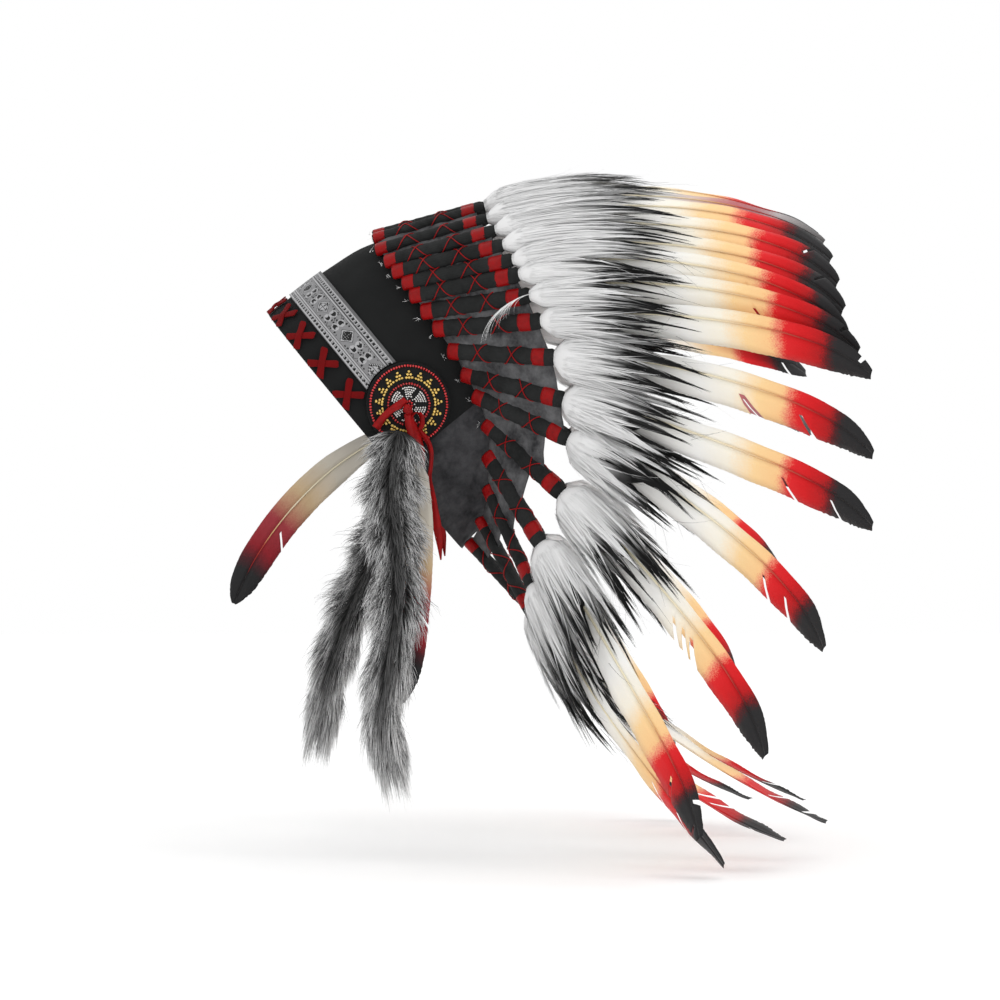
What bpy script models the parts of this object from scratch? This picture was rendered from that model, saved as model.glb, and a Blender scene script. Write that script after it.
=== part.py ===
# A worn feathered headdress: a felt cap with a brocade brow band, a beaded rosette over each ear
# with a satin ribbon, a fur drop and a drop feather, and a fan of cloth-wrapped quills that runs
# round the back of the cap from the crown to the nape, each with a plume and a long feather.
# Metres, +Z up. The face looks along -Y and the wearer's left is +X. The origin is inside the cap,
# level with the middle of the brow, where the head carries it.

import functools
import math

import bmesh
import bpy
from mathutils import Matrix, Vector

# Cap: "along" runs on the rim's plane from brow to nape, "height" stands square to that plane.
CAP_LENGTH = 0.238
CAP_FRONT = 0.084  # from the brow to below the crown's highest point
CAP_HEIGHT = 0.154
CAP_HALF_WIDTH = 0.078
CAP_WALL = 0.002
RIM_ANGLE = math.radians(50.4)  # the rim falls from the brow to the nape
BROW_FORWARD = 0.0983  # the rim's front point from the origin
BROW_UP = 0.0234
FRONT_FULLNESS = 2.85  # exponents of the crown's outline, 2 being an ellipse
SIDE_FULLNESS = 2.3
BACK_FULLNESS = 2.1

# Neck flap: the thin cloth that closes the cap behind this place along the rim.
FLAP_START = 0.158
FLAP_WALL = 0.0016
FLAP_FOLD_DEPTH = 0.0030
FLAP_FOLD_ANGLE = math.radians(16)
FLAP_FOLD_FADE = 0.030
SEAM_GAP = 0.0006

# Small clearances between pieces that touch.
GAP = 0.0003
WRAP_GAP = 0.0007  # under pieces that are wrapped round the faceted crown

# Brow band and the crosses under it.
BAND_BOTTOM = 0.0223
BAND_WIDTH = 0.0304
BAND_THICKNESS = 0.0014
CROSS_HEIGHT = 0.0085  # middle of a cross above the rim
CROSS_SPACING = 0.030
CROSS_FIRST = 0.015  # the first cross from the middle of the brow
CROSS_COUNT = 5
CROSS_UPPER_ARM = 0.0125
CROSS_LOWER_ARM = 0.0085
CROSS_ARM_WIDTH = 0.0052
CROSS_THICKNESS = 0.0012

# Rosette over each ear.
ROSETTE_ALONG = 0.1262
ROSETTE_HEIGHT = 0.0395
ROSETTE_RADIUS = 0.0320
ROSETTE_FELT = 0.0024
ROSETTE_FIELD = 0.0032  # height of the bead field
ROSETTE_RING_RADIUS = 0.0287
ROSETTE_RING_HEIGHT = 0.0042
ROSETTE_FLOWER_RADIUS = 0.0055
ROSETTE_FLOWER_HEIGHT = 0.0050
ROSETTE_SLOPE = 0.001  # across each step of its profile
BAND_TO_ROSETTE = 0.0010

# Satin ribbon tied on the rosette.
RIBBON_THICKNESS = 0.0011
RIBBON_WIDTH = 0.0068
RIBBON_KNOT = 0.0042
KNOT_LIFT = 0.0010  # of the knot's middle over the bead flower
RIBBON_LOOP = 0.0165
LOOP_SPREAD = 0.30  # half the loop's reach, and its bulge down and outwards, as shares of that length
LOOP_DROP = 0.16
LOOP_RISE = 0.20
LOOP_LEAN = 0.14
SHORT_TAIL = 0.027
WIDE_TAIL = 0.040
LONG_TAIL = 0.118

# Each tail's way from the knot: its place to the back and down, as shares of its length, and its
# width as a share of the ribbon's.
SHORT_WAY = ((0.0, 0.10, 0.9), (-0.322, 0.28, 0.75), (-0.644, 0.48, 0.8), (-0.92, 0.72, 0.6))
WIDE_WAY = ((0.03, 0.10, 0.8), (0.10, 0.45, 1.1), (0.18, 0.80, 1.2), (0.26, 1.05, 0.9))
LONG_WAY = (
    (0.03, 0.08, 0.6),
    (0.10, 0.24, 0.55),
    (0.165, 0.36, 0.6),
    (0.15, 0.46, 0.5),
    (0.17, 0.66, 0.55),
    (0.21, 0.84, 0.5),
    (0.205, 1.10, 0.12),
)

# Fur drops.
FUR_LENGTH = 0.268
FUR_HALF_WIDTH = 0.0215
FUR_HALF_DEPTH = 0.0115
FUR_BELOW_CENTRE = 0.020  # its top under the rosette's middle
FUR_FORWARD = 0.0075  # and forward of it
FUR_OFF_LEFT = 0.0038  # in front of the beads, over the drop feather
FUR_OFF_RIGHT = -0.0025
FUR_SWAY = 0.0045
FUR_TIERS = 5
FUR_TIER_STEP = 0.93  # of the length between the first and the last tier's head, over the tiers
FUR_TIER_BODY = 0.125  # length of a tier's body, as a share of the drop's
FUR_TIER_LOCKS = 0.195  # and of its locks
FUR_LOCK_VARIES = 0.03
FUR_TAPER = 0.22
FUR_LEAN_LEFT = math.radians(1)
FUR_LEAN_RIGHT = math.radians(17)

# Drop feathers.
DROP_LENGTH = 0.198
DROP_WIDTH = 0.0280
DROP_THICKNESS = 0.0024
DROP_CAMBER = 0.0004

# How each drop feather hangs: its foot to the back of and below the rosette's middle, its pitch
# below the line to the back, its bend and its flare outwards, in metres and degrees.
DROP_LEFT = (0.004, 0.028, 93, 6, 1)
DROP_RIGHT = (-0.018, 0.016, 133, -20, 6)

# Quill sleeves of the fan.
SLEEVE_LENGTH = 0.090
SLEEVE_WIDTH = 0.0130
SLEEVE_THICKNESS = 0.0090
SEAT_OFF = 0.00045  # off the crown, measured from the middle of its rim
FLAP_SEAT = 0.0009  # and this much nearer on the flap, whose folds dip under the sleeves
WEB_THICKNESS = 0.0016
WEB_START = 0.003
WEB_OVERLAP = 0.0015  # into a sleeve
WEB_MOST = 0.96  # of a sleeve's length

# Long feathers and plumes.
FEATHER_LENGTH = 0.262
FEATHER_WIDTH = 0.029
FEATHER_THICKNESS = 0.0026
FEATHER_CAMBER = 0.0022
PLUME_LENGTH = 0.094
PLUME_HALF_WIDTH = 0.0185
PLUME_HALF_DEPTH = 0.0095
PLUME_ROOM = 0.46  # of the way to the next feather that a plume may fill
QUILL_START = 0.006

CAP_TURNS = 36
CAP_RINGS = 8
FLAP_STEP_ANGLE = math.radians(5)

# The left half of the fan, from the crown to the nape. Turn is the angle round the cap from the
# brow, height a share of the cap's, pitch and droop are degrees down, flare degrees outwards, roll
# turns the vane so that it overlaps the next one like a shingle, web is the share of the sleeve's
# length that the backing reaches in the gap to the next sleeve, and lift is how many degrees
# higher the same feather stands on the right.
FAN_COLUMNS = ("turn", "height", "pitch", "flare", "droop", "roll", "web", "lift")
FAN = (
    (0.0, 0.650, -15.2, 0.0, 20.0, 0, 0.92, 0),
    (18.5, 0.638, -15.2, 6.0, 20.0, 14, 0.92, 0),
    (34.0, 0.610, -14.7, 10.0, 19.0, 18, 0.93, 0),
    (47.0, 0.606, -14.6, 14.0, 20.0, 20, 0.94, 0),
    (56.0, 0.604, -12.1, 17.0, 19.0, 22, 0.95, 0.6),
    (65.5, 0.608, -10.0, 20.0, 19.0, 22, 0.95, 1.0),
    (74.5, 0.597, -9.2, 22.0, 20.0, 22, 0.95, 1.4),
    (86.0, 0.591, -6.7, 24.0, 17.0, 22, 0.96, 2.6),
    (94.5, 0.584, -2.3, 26.0, 12.0, 20, 0.96, 3.8),
    (103.0, 0.571, 5.2, 27.0, 12.0, 18, 0.96, 5),
    (111.5, 0.553, 16.1, 28.0, 6.0, 15, 0.96, 5),
    (119.5, 0.532, 26.2, 28.0, 13.0, 12, 0.75, 6),
    (129.5, 0.488, 43.6, 28.0, 8.0, 10, 0.60, 4),
    (138.0, 0.397, 59.6, 28.0, 1.0, 8, 0.55, 2),
    (148.0, 0.292, 65.7, 24.5, -11.0, 4, 0.35, 0),
    (159.0, 0.169, 61.5, 20.0, -20.0, 2, 0.25, 0),
    (168.0, 0.050, 47.0, 11.0, -12.0, 0, 0.25, 0),
)
TOP_LAST = 6  # the top arc holds the sleeves up to here, on both sides
SIDE_LAST = 12  # and the side arcs those up to here

# Outline of a long feather: share of its length, share of its width, share of its thickness.
VANE = (
    (0.10, 0.36, 1.0),
    (0.36, 0.74, 0.9),
    (0.50, 1.0, 0.8),
    (0.78, 0.96, 0.6),
    (0.92, 0.66, 0.5),
    (1.0, 0.10, 0.3),
)
DROP_VANE = (
    (0.0, 0.22, 0.8),
    (0.16, 0.66, 1.0),
    (0.45, 1.0, 0.9),
    (0.75, 0.97, 0.7),
    (0.93, 0.66, 0.5),
    (1.0, 0.12, 0.3),
)


def clear_scene():
    for obj in list(bpy.data.objects):
        bpy.data.objects.remove(obj, do_unlink=True)


def new_collection(name):
    group = bpy.data.collections.new(name)
    bpy.context.scene.collection.children.link(group)
    return group


def plain_material(name, colour, roughness):
    made = bpy.data.materials.new(name)
    made.use_nodes = True
    shader = made.node_tree.nodes["Principled BSDF"]
    shader.inputs["Base Color"].default_value = (*colour, 1)
    shader.inputs["Roughness"].default_value = roughness
    shader.inputs["Metallic"].default_value = 0.0
    return made


def mesh_object(name, points, faces, group):
    mesh = bpy.data.meshes.new(name)
    mesh.from_pydata([tuple(p) for p in points], [], faces)
    obj = bpy.data.objects.new(name, mesh)
    group.objects.link(obj)
    work = bmesh.new()
    work.from_mesh(mesh)
    bmesh.ops.recalc_face_normals(work, faces=work.faces)
    work.to_mesh(mesh)
    work.free()
    return obj


def lofted(name, rings, group):
    """A closed solid through rings of as many points each."""
    count = len(rings[0])
    points = [p for ring in rings for p in ring]
    faces = [tuple(range(count)), tuple(range(len(points) - count, len(points)))]
    for row in range(len(rings) - 1):
        for k in range(count):
            a, b = row * count + k, row * count + (k + 1) % count
            faces.append((a, b, b + count, a + count))
    return mesh_object(name, points, faces, group)


def fused(name, pieces, solver="EXACT"):
    """One body from pieces that overlap, each joined with a Boolean union."""
    body = pieces[0]
    for other in pieces[1:]:
        join = body.modifiers.new("join", "BOOLEAN")
        join.operation = "UNION"
        join.solver = solver
        join.object = other
        graph = bpy.context.evaluated_depsgraph_get()
        mesh = bpy.data.meshes.new_from_object(body.evaluated_get(graph))
        body.modifiers.clear()
        body.data = mesh
        bpy.data.objects.remove(other, do_unlink=True)
    body.name = name
    body.data.name = name
    return body


def finish(obj, material, sharp=35):
    obj.data.materials.clear()
    obj.data.materials.append(material)
    obj.data.shade_smooth()
    obj.data.set_sharp_from_angle(angle=math.radians(sharp))
    return obj


# The crown's surface.


def fullness(angle):
    facing = math.cos(angle)
    end = FRONT_FULLNESS if facing > 0 else BACK_FULLNESS
    return SIDE_FULLNESS + (end - SIDE_FULLNESS) * facing * facing


def reach(angle):
    return CAP_FRONT if math.cos(angle) > 0 else CAP_LENGTH - CAP_FRONT


def from_cap(along, across, height):
    y = -BROW_FORWARD + along * math.cos(RIM_ANGLE) + height * math.sin(RIM_ANGLE)
    z = BROW_UP - along * math.sin(RIM_ANGLE) + height * math.cos(RIM_ANGLE)
    return Vector((across, y, z))


def to_cap(point):
    y, z = point.y + BROW_FORWARD, point.z - BROW_UP
    along = y * math.cos(RIM_ANGLE) - z * math.sin(RIM_ANGLE)
    height = y * math.sin(RIM_ANGLE) + z * math.cos(RIM_ANGLE)
    return along, point.x, height


def crown(angle, height):
    """The point of the cap's outside at this angle from the brow and this height above the rim."""
    power = fullness(angle)
    lift = min(height / CAP_HEIGHT, 1)
    spread = max(1 - max(lift, 0) ** power, 0) ** (1 / power)
    along = CAP_FRONT - reach(angle) * spread * math.cos(angle)
    return from_cap(along, CAP_HALF_WIDTH * spread * math.sin(angle), height)


def crown_normal(angle, height):
    step_angle, step_height = 0.002, 0.0002
    round_it = crown(angle + step_angle, height) - crown(angle - step_angle, height)
    up_it = crown(angle, height + step_height) - crown(angle, height - step_height)
    normal = round_it.cross(up_it).normalized()
    outwards = crown(angle, height) - from_cap(CAP_FRONT, 0, 0)
    return normal if normal.dot(outwards) > 0 else -normal


def on_crown(angle, height, off):
    return crown(angle, height) + crown_normal(angle, height) * off


def crown_clearance(point):
    """How far a point lies outside the crown, measured from the middle of the rim's plane."""
    along, across, height = to_cap(point)
    forward = CAP_FRONT - along
    span = CAP_FRONT if forward > 0 else CAP_LENGTH - CAP_FRONT
    share = math.hypot(forward / span, across / CAP_HALF_WIDTH)
    power = fullness(math.atan2(across / CAP_HALF_WIDTH, forward / span))
    level = (share**power + max(height / CAP_HEIGHT, 0) ** power) ** (1 / power)
    return (1 - 1 / level) * (point - from_cap(CAP_FRONT, 0, 0)).length


def angle_of_along(along, height):
    """The angle at which the left side of the crown, at this height, is this far along the rim."""
    low, high = 0.0, math.pi
    for _ in range(40):
        middle = (low + high) / 2
        if to_cap(crown(middle, height))[0] < along:
            low = middle
        else:
            high = middle
    return (low + high) / 2


def ring_heights(count):
    return [CAP_HEIGHT * math.sin(math.pi / 2 * k / count) ** (2 / SIDE_FULLNESS) for k in range(count)]


# Cap and neck flap.


def flap_fold(angle, along):
    fade = min(max((along - FLAP_START) / FLAP_FOLD_FADE, 0), 1)
    return FLAP_FOLD_DEPTH * fade * (0.5 - 0.5 * math.cos(2 * math.pi * (angle - math.pi) / FLAP_FOLD_ANGLE))


def half_crown(name, angles, closed, wall, keep_front, group):
    """The crown's skin on one side of the flap's seam, with its wall on the inside."""
    heights = ring_heights(CAP_RINGS)
    points = []
    for height in heights:
        for angle in angles:
            point = crown(angle, height)
            if not keep_front:
                point -= crown_normal(angle, height) * flap_fold(angle, to_cap(point)[0])
            points.append(point)
    count = len(angles)
    faces = []
    for row in range(len(heights) - 1):
        for k in range(count if closed else count - 1):
            a, b = row * count + k, row * count + (k + 1) % count
            faces.append((a, b, b + count, a + count))
    if closed:
        points.append(from_cap(CAP_FRONT, 0, CAP_HEIGHT))
        last = (len(heights) - 1) * count
        faces += [(last + k, last + (k + 1) % count, len(points) - 1) for k in range(count)]
    obj = mesh_object(name, points, faces, group)
    work = bmesh.new()
    work.from_mesh(obj.data)
    seam = FLAP_START + (-SEAM_GAP if keep_front else SEAM_GAP) / 2
    everything = list(work.verts) + list(work.edges) + list(work.faces)
    bmesh.ops.bisect_plane(
        work,
        geom=everything,
        dist=1e-6,
        plane_co=from_cap(seam, 0, 0),
        plane_no=from_cap(1, 0, 0) - from_cap(0, 0, 0),
        clear_outer=keep_front,
        clear_inner=not keep_front,
    )
    work.faces.ensure_lookup_table()
    face = work.faces[0]
    if face.normal.dot(face.calc_center_median() - from_cap(CAP_FRONT, 0, 0)) < 0:
        bmesh.ops.reverse_faces(work, faces=work.faces)
    work.to_mesh(obj.data)
    work.free()
    thick = obj.modifiers.new("wall", "SOLIDIFY")
    thick.thickness = wall
    thick.offset = -1
    return obj


def cap(group):
    angles = [2 * math.pi * k / CAP_TURNS for k in range(CAP_TURNS)]
    return half_crown("cap", angles, True, CAP_WALL, True, group)


def neck_flap(group):
    first = angle_of_along(FLAP_START, 0) - 2 * FLAP_STEP_ANGLE
    steps = 2 * math.ceil((math.pi - first) / FLAP_STEP_ANGLE)
    angles = [first + (2 * math.pi - 2 * first) * k / steps for k in range(steps + 1)]
    return half_crown("neck_flap", angles, False, FLAP_WALL, False, group)


# Brow band and crosses.


def rosette_centre(side):
    angle = angle_of_along(ROSETTE_ALONG, ROSETTE_HEIGHT)
    return on_crown(side * angle, ROSETTE_HEIGHT, GAP)


def band_end(height):
    """The angle at which the band meets the rosette's edge, at this height."""
    centre = rosette_centre(1)
    low, high = 0.0, angle_of_along(ROSETTE_ALONG, ROSETTE_HEIGHT)
    for _ in range(40):
        middle = (low + high) / 2
        if (crown(middle, height) - centre).length > ROSETTE_RADIUS + BAND_TO_ROSETTE:
            low = middle
        else:
            high = middle
    return low


def brow_band(group):
    heights = [BAND_BOTTOM + BAND_WIDTH * k / 2 for k in range(3)]
    ends = [band_end(height) for height in heights]
    steps = CAP_TURNS
    rings = []
    for k in range(steps + 1):
        share = 2 * k / steps - 1
        low = [on_crown(end * share, h, WRAP_GAP) for end, h in zip(ends, heights)]
        top = [on_crown(end * share, h, WRAP_GAP + BAND_THICKNESS) for end, h in zip(ends, heights)]
        rings.append(low + top[::-1])
    return lofted("brow_band", rings, group)


def angle_at_distance(distance, height):
    """The angle that lies this far round the crown from the brow, at this height."""
    angle, gone, step = 0.0, 0.0, 0.002
    while gone < distance:
        gone += (crown(angle + step, height) - crown(angle, height)).length
        angle += step
    return angle


def cross(name, distance, side, group):
    """An X of two straps, laid on the crown, its lower arms ending at the rim."""
    half = CROSS_ARM_WIDTH / 2
    notch = half * math.sqrt(2)
    arms = ((45, CROSS_UPPER_ARM), (135, CROSS_UPPER_ARM), (225, CROSS_LOWER_ARM), (315, CROSS_LOWER_ARM))
    outline = []
    for degrees, length in arms:
        out = Vector((math.cos(math.radians(degrees)), math.sin(math.radians(degrees))))
        turn = Vector((-out.y, out.x))
        outline += [out * length - turn * half, out * length + turn * half]
        after = math.radians(degrees + 45)
        outline.append(Vector((math.cos(after), math.sin(after))) * notch)
    where = angle_at_distance(distance, CROSS_HEIGHT)
    per_length = 0.001 / (crown(where + 0.001, CROSS_HEIGHT) - crown(where, CROSS_HEIGHT)).length
    rows = []
    for off in (WRAP_GAP, WRAP_GAP + CROSS_THICKNESS):
        ring = [Vector((0, 0)), *outline]
        rows.append([on_crown(side * (where + p.x * per_length), CROSS_HEIGHT + p.y, off) for p in ring])
    count = len(outline)
    points = rows[0] + rows[1]
    faces = []
    for k in range(count):
        a, b = 1 + k, 1 + (k + 1) % count
        faces.append((a, b, b + count + 1, a + count + 1))
        faces.append((0, a, b))
        faces.append((count + 1, a + count + 1, b + count + 1))
    return mesh_object(name, points, faces, group)


# Rosette.


def rosette(name, side, group):
    profile = (
        (0, ROSETTE_FLOWER_HEIGHT),
        (ROSETTE_FLOWER_RADIUS, ROSETTE_FLOWER_HEIGHT),
        (ROSETTE_FLOWER_RADIUS + ROSETTE_SLOPE, ROSETTE_FIELD),
        (ROSETTE_RING_RADIUS - ROSETTE_SLOPE, ROSETTE_FIELD),
        (ROSETTE_RING_RADIUS, ROSETTE_RING_HEIGHT),
        (ROSETTE_RING_RADIUS + ROSETTE_SLOPE, ROSETTE_FIELD),
        (ROSETTE_RADIUS, ROSETTE_FELT),
        (ROSETTE_RADIUS, 0),
        (0, 0),
    )
    mesh = bpy.data.meshes.new(name)
    mesh.from_pydata([(r, 0, h) for r, h in profile], [(k, k + 1) for k in range(len(profile) - 1)], [])
    obj = bpy.data.objects.new(name, mesh)
    group.objects.link(obj)
    turn = obj.modifiers.new("turn", "SCREW")
    turn.steps = turn.render_steps = 20
    turn.use_merge_vertices = True
    turn.merge_threshold = 0.00001
    obj.matrix_world = rosette_frame(side)
    return obj


def rosette_frame(side):
    """The rosette's place: its own Z stands out from the crown, X points to the back and Y up."""
    angle = side * angle_of_along(ROSETTE_ALONG, ROSETTE_HEIGHT)
    out = crown_normal(angle, ROSETTE_HEIGHT)
    up = (Vector((0, 0, 1)) - out * out.z).normalized()
    aft = up.cross(out)
    centre = rosette_centre(side)
    return Matrix.Translation(centre) @ Matrix((aft, up, out)).transposed().to_4x4()


def on_rosette(side, aft, down, out):
    """A point by its distances from the rosette's middle: to the back, down, and out from its beads."""
    frame = rosette_frame(side)
    return frame @ Vector((side * aft, -down, ROSETTE_RING_HEIGHT + out))


# Ribbon.


def strip(name, path, widths, outward, thickness, group):
    rings = []
    for k, point in enumerate(path):
        ahead = path[min(k + 1, len(path) - 1)] - path[max(k - 1, 0)]
        across = outward.cross(ahead).normalized() * widths[k] / 2
        up = ahead.cross(across).normalized() * thickness / 2
        rings.append([point - across - up, point + across - up, point + across + up, point - across + up])
    return lofted(name, rings, group)


def ribbon(name, side, group):
    out = rosette_frame(side).to_3x3().col[2]
    lie = GAP + RIBBON_THICKNESS / 2

    def at(aft, down, lift=0.0):
        return on_rosette(side, aft, down, lie + lift)

    knot_top = ROSETTE_FLOWER_HEIGHT - ROSETTE_RING_HEIGHT
    over_knot = knot_top + KNOT_LIFT

    def tail(word, length, way, lift):
        path = [at(length * aft, length * down, knot_top * lift(aft, down)) for aft, down, _ in way]
        widths = [RIBBON_WIDTH * wide for _, _, wide in way]
        return strip(word, path, widths, out, RIBBON_THICKNESS, group)

    knot = [
        at(-0.4 * RIBBON_KNOT, -0.1 * RIBBON_KNOT, over_knot),
        at(0.9 * RIBBON_KNOT, 1.5 * RIBBON_KNOT, over_knot),
    ]
    loop = []
    for k in range(8):
        swing = 2 * math.pi * (0.06 + 0.88 * k / 7)
        bow, lean = 1 - math.cos(swing), math.sin(swing)
        loop.append(
            at(
                0.3 * RIBBON_KNOT + RIBBON_LOOP * LOOP_SPREAD * bow,
                0.9 * RIBBON_KNOT + RIBBON_LOOP * (LOOP_SPREAD * bow + LOOP_DROP * lean),
                over_knot + RIBBON_LOOP * (LOOP_RISE * bow + LOOP_LEAN * lean),
            )
        )
    pieces = [
        strip("knot", knot, [1.4 * RIBBON_KNOT] * 2, out, RIBBON_KNOT * 0.7, group),
        tail("short", SHORT_TAIL, SHORT_WAY, lambda aft, down: 1 + aft / 0.92),
        strip("loop", loop, [RIBBON_WIDTH * 0.9] * 8, out, RIBBON_THICKNESS, group),
        tail("wide", WIDE_TAIL, WIDE_WAY, lambda aft, down: max(1 - down, 0)),
        tail("long", LONG_TAIL, LONG_WAY, lambda aft, down: max(1 - 4 * down, 0)),
    ]
    return fused(name, pieces, "MANIFOLD")  # the exact solver turns one of these inside out


# Feathers, plumes and fur.


def side_direction(pitch, flare, side=1):
    """A direction by its degrees down, seen from the side, and its degrees outwards."""
    down, out = math.radians(pitch), math.radians(flare)
    return Vector((side * math.sin(out), math.cos(out) * math.cos(down), -math.cos(out) * math.sin(down)))


def arc_places(start, ahead, chord, length, across, shares):
    """Point, tangent, width direction and face direction along an arc that leaves start along
    ahead and has its chord along chord."""
    bend = ahead.angle(chord)
    inwards = (chord - ahead * chord.dot(ahead))
    inwards = inwards.normalized() if bend > 1e-4 else ahead.orthogonal().normalized()
    places = []
    for share in shares:
        swing = 2 * bend * share
        if bend > 1e-4:
            radius = length / (2 * bend)
            point = start + ahead * radius * math.sin(swing) + inwards * radius * (1 - math.cos(swing))
        else:
            point = start + ahead * length * share
        tangent = ahead * math.cos(swing) + inwards * math.sin(swing)
        wide = (across - tangent * across.dot(tangent)).normalized()
        places.append((point, tangent, wide, wide.cross(tangent)))
    return places


def vane(name, places, outline, width, thickness, camber, group):
    rings = []
    for (point, _, wide, face), (_, share, thin) in zip(places, outline):
        half, dip = wide * width * share / 2, face * camber * share
        rib = face * thickness * thin / 2
        rings.append([point - half - dip, point + rib, point + half - dip, point - rib])
    return lofted(name, rings, group)


def tuft(name, rings, tips, group):
    """A head of fluff or fur: closed rings, with a pointed lock on each side of the last one."""
    count = len(rings[0])
    points = [p for ring in rings for p in ring]
    faces = [tuple(range(count))]
    for row in range(len(rings) - 1):
        for k in range(count):
            a, b = row * count + k, row * count + (k + 1) % count
            faces.append((a, b, b + count, a + count))
    last = len(points) - count
    middle = len(points)
    points.append(sum(rings[-1], Vector()) / count)
    for k, tip in enumerate(tips):
        a, b, peak = last + k, last + (k + 1) % count, middle + 1 + k
        points.append(tip)
        faces += [(a, b, peak), (b, middle, peak), (middle, a, peak)]
    return mesh_object(name, points, faces, group)


def oval(place, half_width, half_depth, count, start=0.5):
    point, _, wide, face = place
    ring = []
    for k in range(count):
        swing = 2 * math.pi * (k + start) / count
        ring.append(point + wide * half_width * math.cos(swing) + face * half_depth * math.sin(swing))
    return ring


def plume(name, way, seed, group):
    """The fluff at a feather's foot: 8 pointed locks round the quill."""
    share_of = PLUME_LENGTH / FEATHER_LENGTH
    rooms = way["rooms"]
    rings = []
    for share, wide, deep in ((0, 0, 0), (0.30, 0.80, 0.95), (0.58, 1.0, 1.0)):
        half_width = min(PLUME_HALF_WIDTH * wide or SLEEVE_WIDTH / 2, room_at(rooms, share * share_of))
        half_depth = PLUME_HALF_DEPTH * deep or SLEEVE_THICKNESS / 2
        rings.append(oval(way["arc"]([share * share_of])[0], half_width, half_depth, 8))
    tips = []
    for k in range(8):
        long = 0.90 + 0.10 * math.sin(2.4 * k + 1.7 * seed)
        point, _, wide, face = way["arc"]([long * share_of])[0]
        half_width = min(PLUME_HALF_WIDTH, room_at(rooms, long * share_of)) * 0.85
        swing = 2 * math.pi * (k + 1) / 8
        tips.append(point + wide * half_width * math.cos(swing) + face * PLUME_HALF_DEPTH * 0.75 * math.sin(swing))
    return tuft(name, rings, tips, group)


def room_at(rooms, share):
    """The room beside a feather at a share of its length, between the measured places."""
    for (low, a), (high, b) in zip(rooms, rooms[1:]):
        if share <= high:
            return a + (b - a) * max(share - low, 0) / (high - low)
    return rooms[-1][1]


def long_feather(name, way, roll, seed, group):
    share_of = PLUME_LENGTH / FEATHER_LENGTH
    outline = [(QUILL_START / FEATHER_LENGTH, *VANE[0][1:]), *VANE[1:]]
    limited = []
    for share, wide, thin in outline:
        if share <= share_of * 1.02:
            wide = min(wide, 2 * room_at(way["rooms"], share) / FEATHER_WIDTH)
        limited.append((share, wide, thin))
    places = []
    for point, tangent, wide, face in way["arc"]([row[0] for row in limited]):
        turned = wide * math.cos(roll) - face * math.sin(roll)
        places.append((point, tangent, turned, turned.cross(tangent)))
    blade = vane(name + "_vane", places, limited, FEATHER_WIDTH, FEATHER_THICKNESS, FEATHER_CAMBER, group)
    fluff = plume(name + "_plume", way, seed, group)
    return fused(name, [fluff, blade])


def fur_drop(name, side, lean, off, group):
    """A strip of fur, this far off the rosette's beads: tiers of locks down a swaying middle line."""
    down = Vector((0, -math.sin(lean), -math.cos(lean)))
    wide = Vector((0, math.cos(lean), -math.sin(lean)))
    face = Vector((side, 0, 0))
    top = on_rosette(side, -FUR_FORWARD, FUR_BELOW_CENTRE, off + FUR_HALF_DEPTH)
    pieces = []
    for k in range(FUR_TIERS):
        share = k / FUR_TIERS
        sway = wide * FUR_SWAY * math.sin(2 * math.pi * (share + 0.35))
        head = top + down * FUR_LENGTH * share * FUR_TIER_STEP + sway
        slim = 1.0 - FUR_TAPER * share
        places = []
        for step in (0.0, 0.55, 1.0):
            shift = down * FUR_LENGTH * FUR_TIER_BODY * step
            places.append((head + shift, down, wide, face))
        rings = [
            oval(places[0], FUR_HALF_WIDTH * slim * (0.55 if k == 0 else 0.72), FUR_HALF_DEPTH * 0.70, 8),
            oval(places[1], FUR_HALF_WIDTH * slim * 0.95, FUR_HALF_DEPTH * 0.95, 8),
            oval(places[2], FUR_HALF_WIDTH * slim * 0.98, FUR_HALF_DEPTH * 0.95, 8),
        ]
        tips = []
        for j in range(8):
            swing = 2 * math.pi * (j + 1) / 8
            reach_down = FUR_LENGTH * (FUR_TIER_LOCKS + FUR_LOCK_VARIES * math.sin(2.1 * j + k))
            reach_down = min(reach_down, FUR_LENGTH * (1 - share * FUR_TIER_STEP))
            tips.append(
                head
                + down * reach_down
                + wide * FUR_HALF_WIDTH * slim * 1.12 * math.cos(swing)
                + face * FUR_HALF_DEPTH * 0.95 * math.sin(swing)
            )
        pieces.append(tuft(name + "_tier", rings, tips, group))
    return fused(name, pieces)


def drop_feather(name, side, aft, down, pitch, bend, flare, group):
    """A feather that hangs from the rosette, by its pitch below the line to the back."""
    start = on_rosette(side, aft, down, GAP + RIBBON_THICKNESS + GAP + DROP_THICKNESS / 2)
    ahead = side_direction(pitch - bend, flare, side)
    chord = side_direction(pitch, flare, side)
    across = Vector((side, 0, 0)).cross(chord).normalized()
    shares = [row[0] for row in DROP_VANE]
    places = arc_places(start, ahead, chord, DROP_LENGTH, across, shares)
    return vane(name, places, DROP_VANE, DROP_WIDTH, DROP_THICKNESS, DROP_CAMBER, group)


# The fan.


def fan_rows():
    return [dict(zip(FAN_COLUMNS, row)) for row in FAN]


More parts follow.
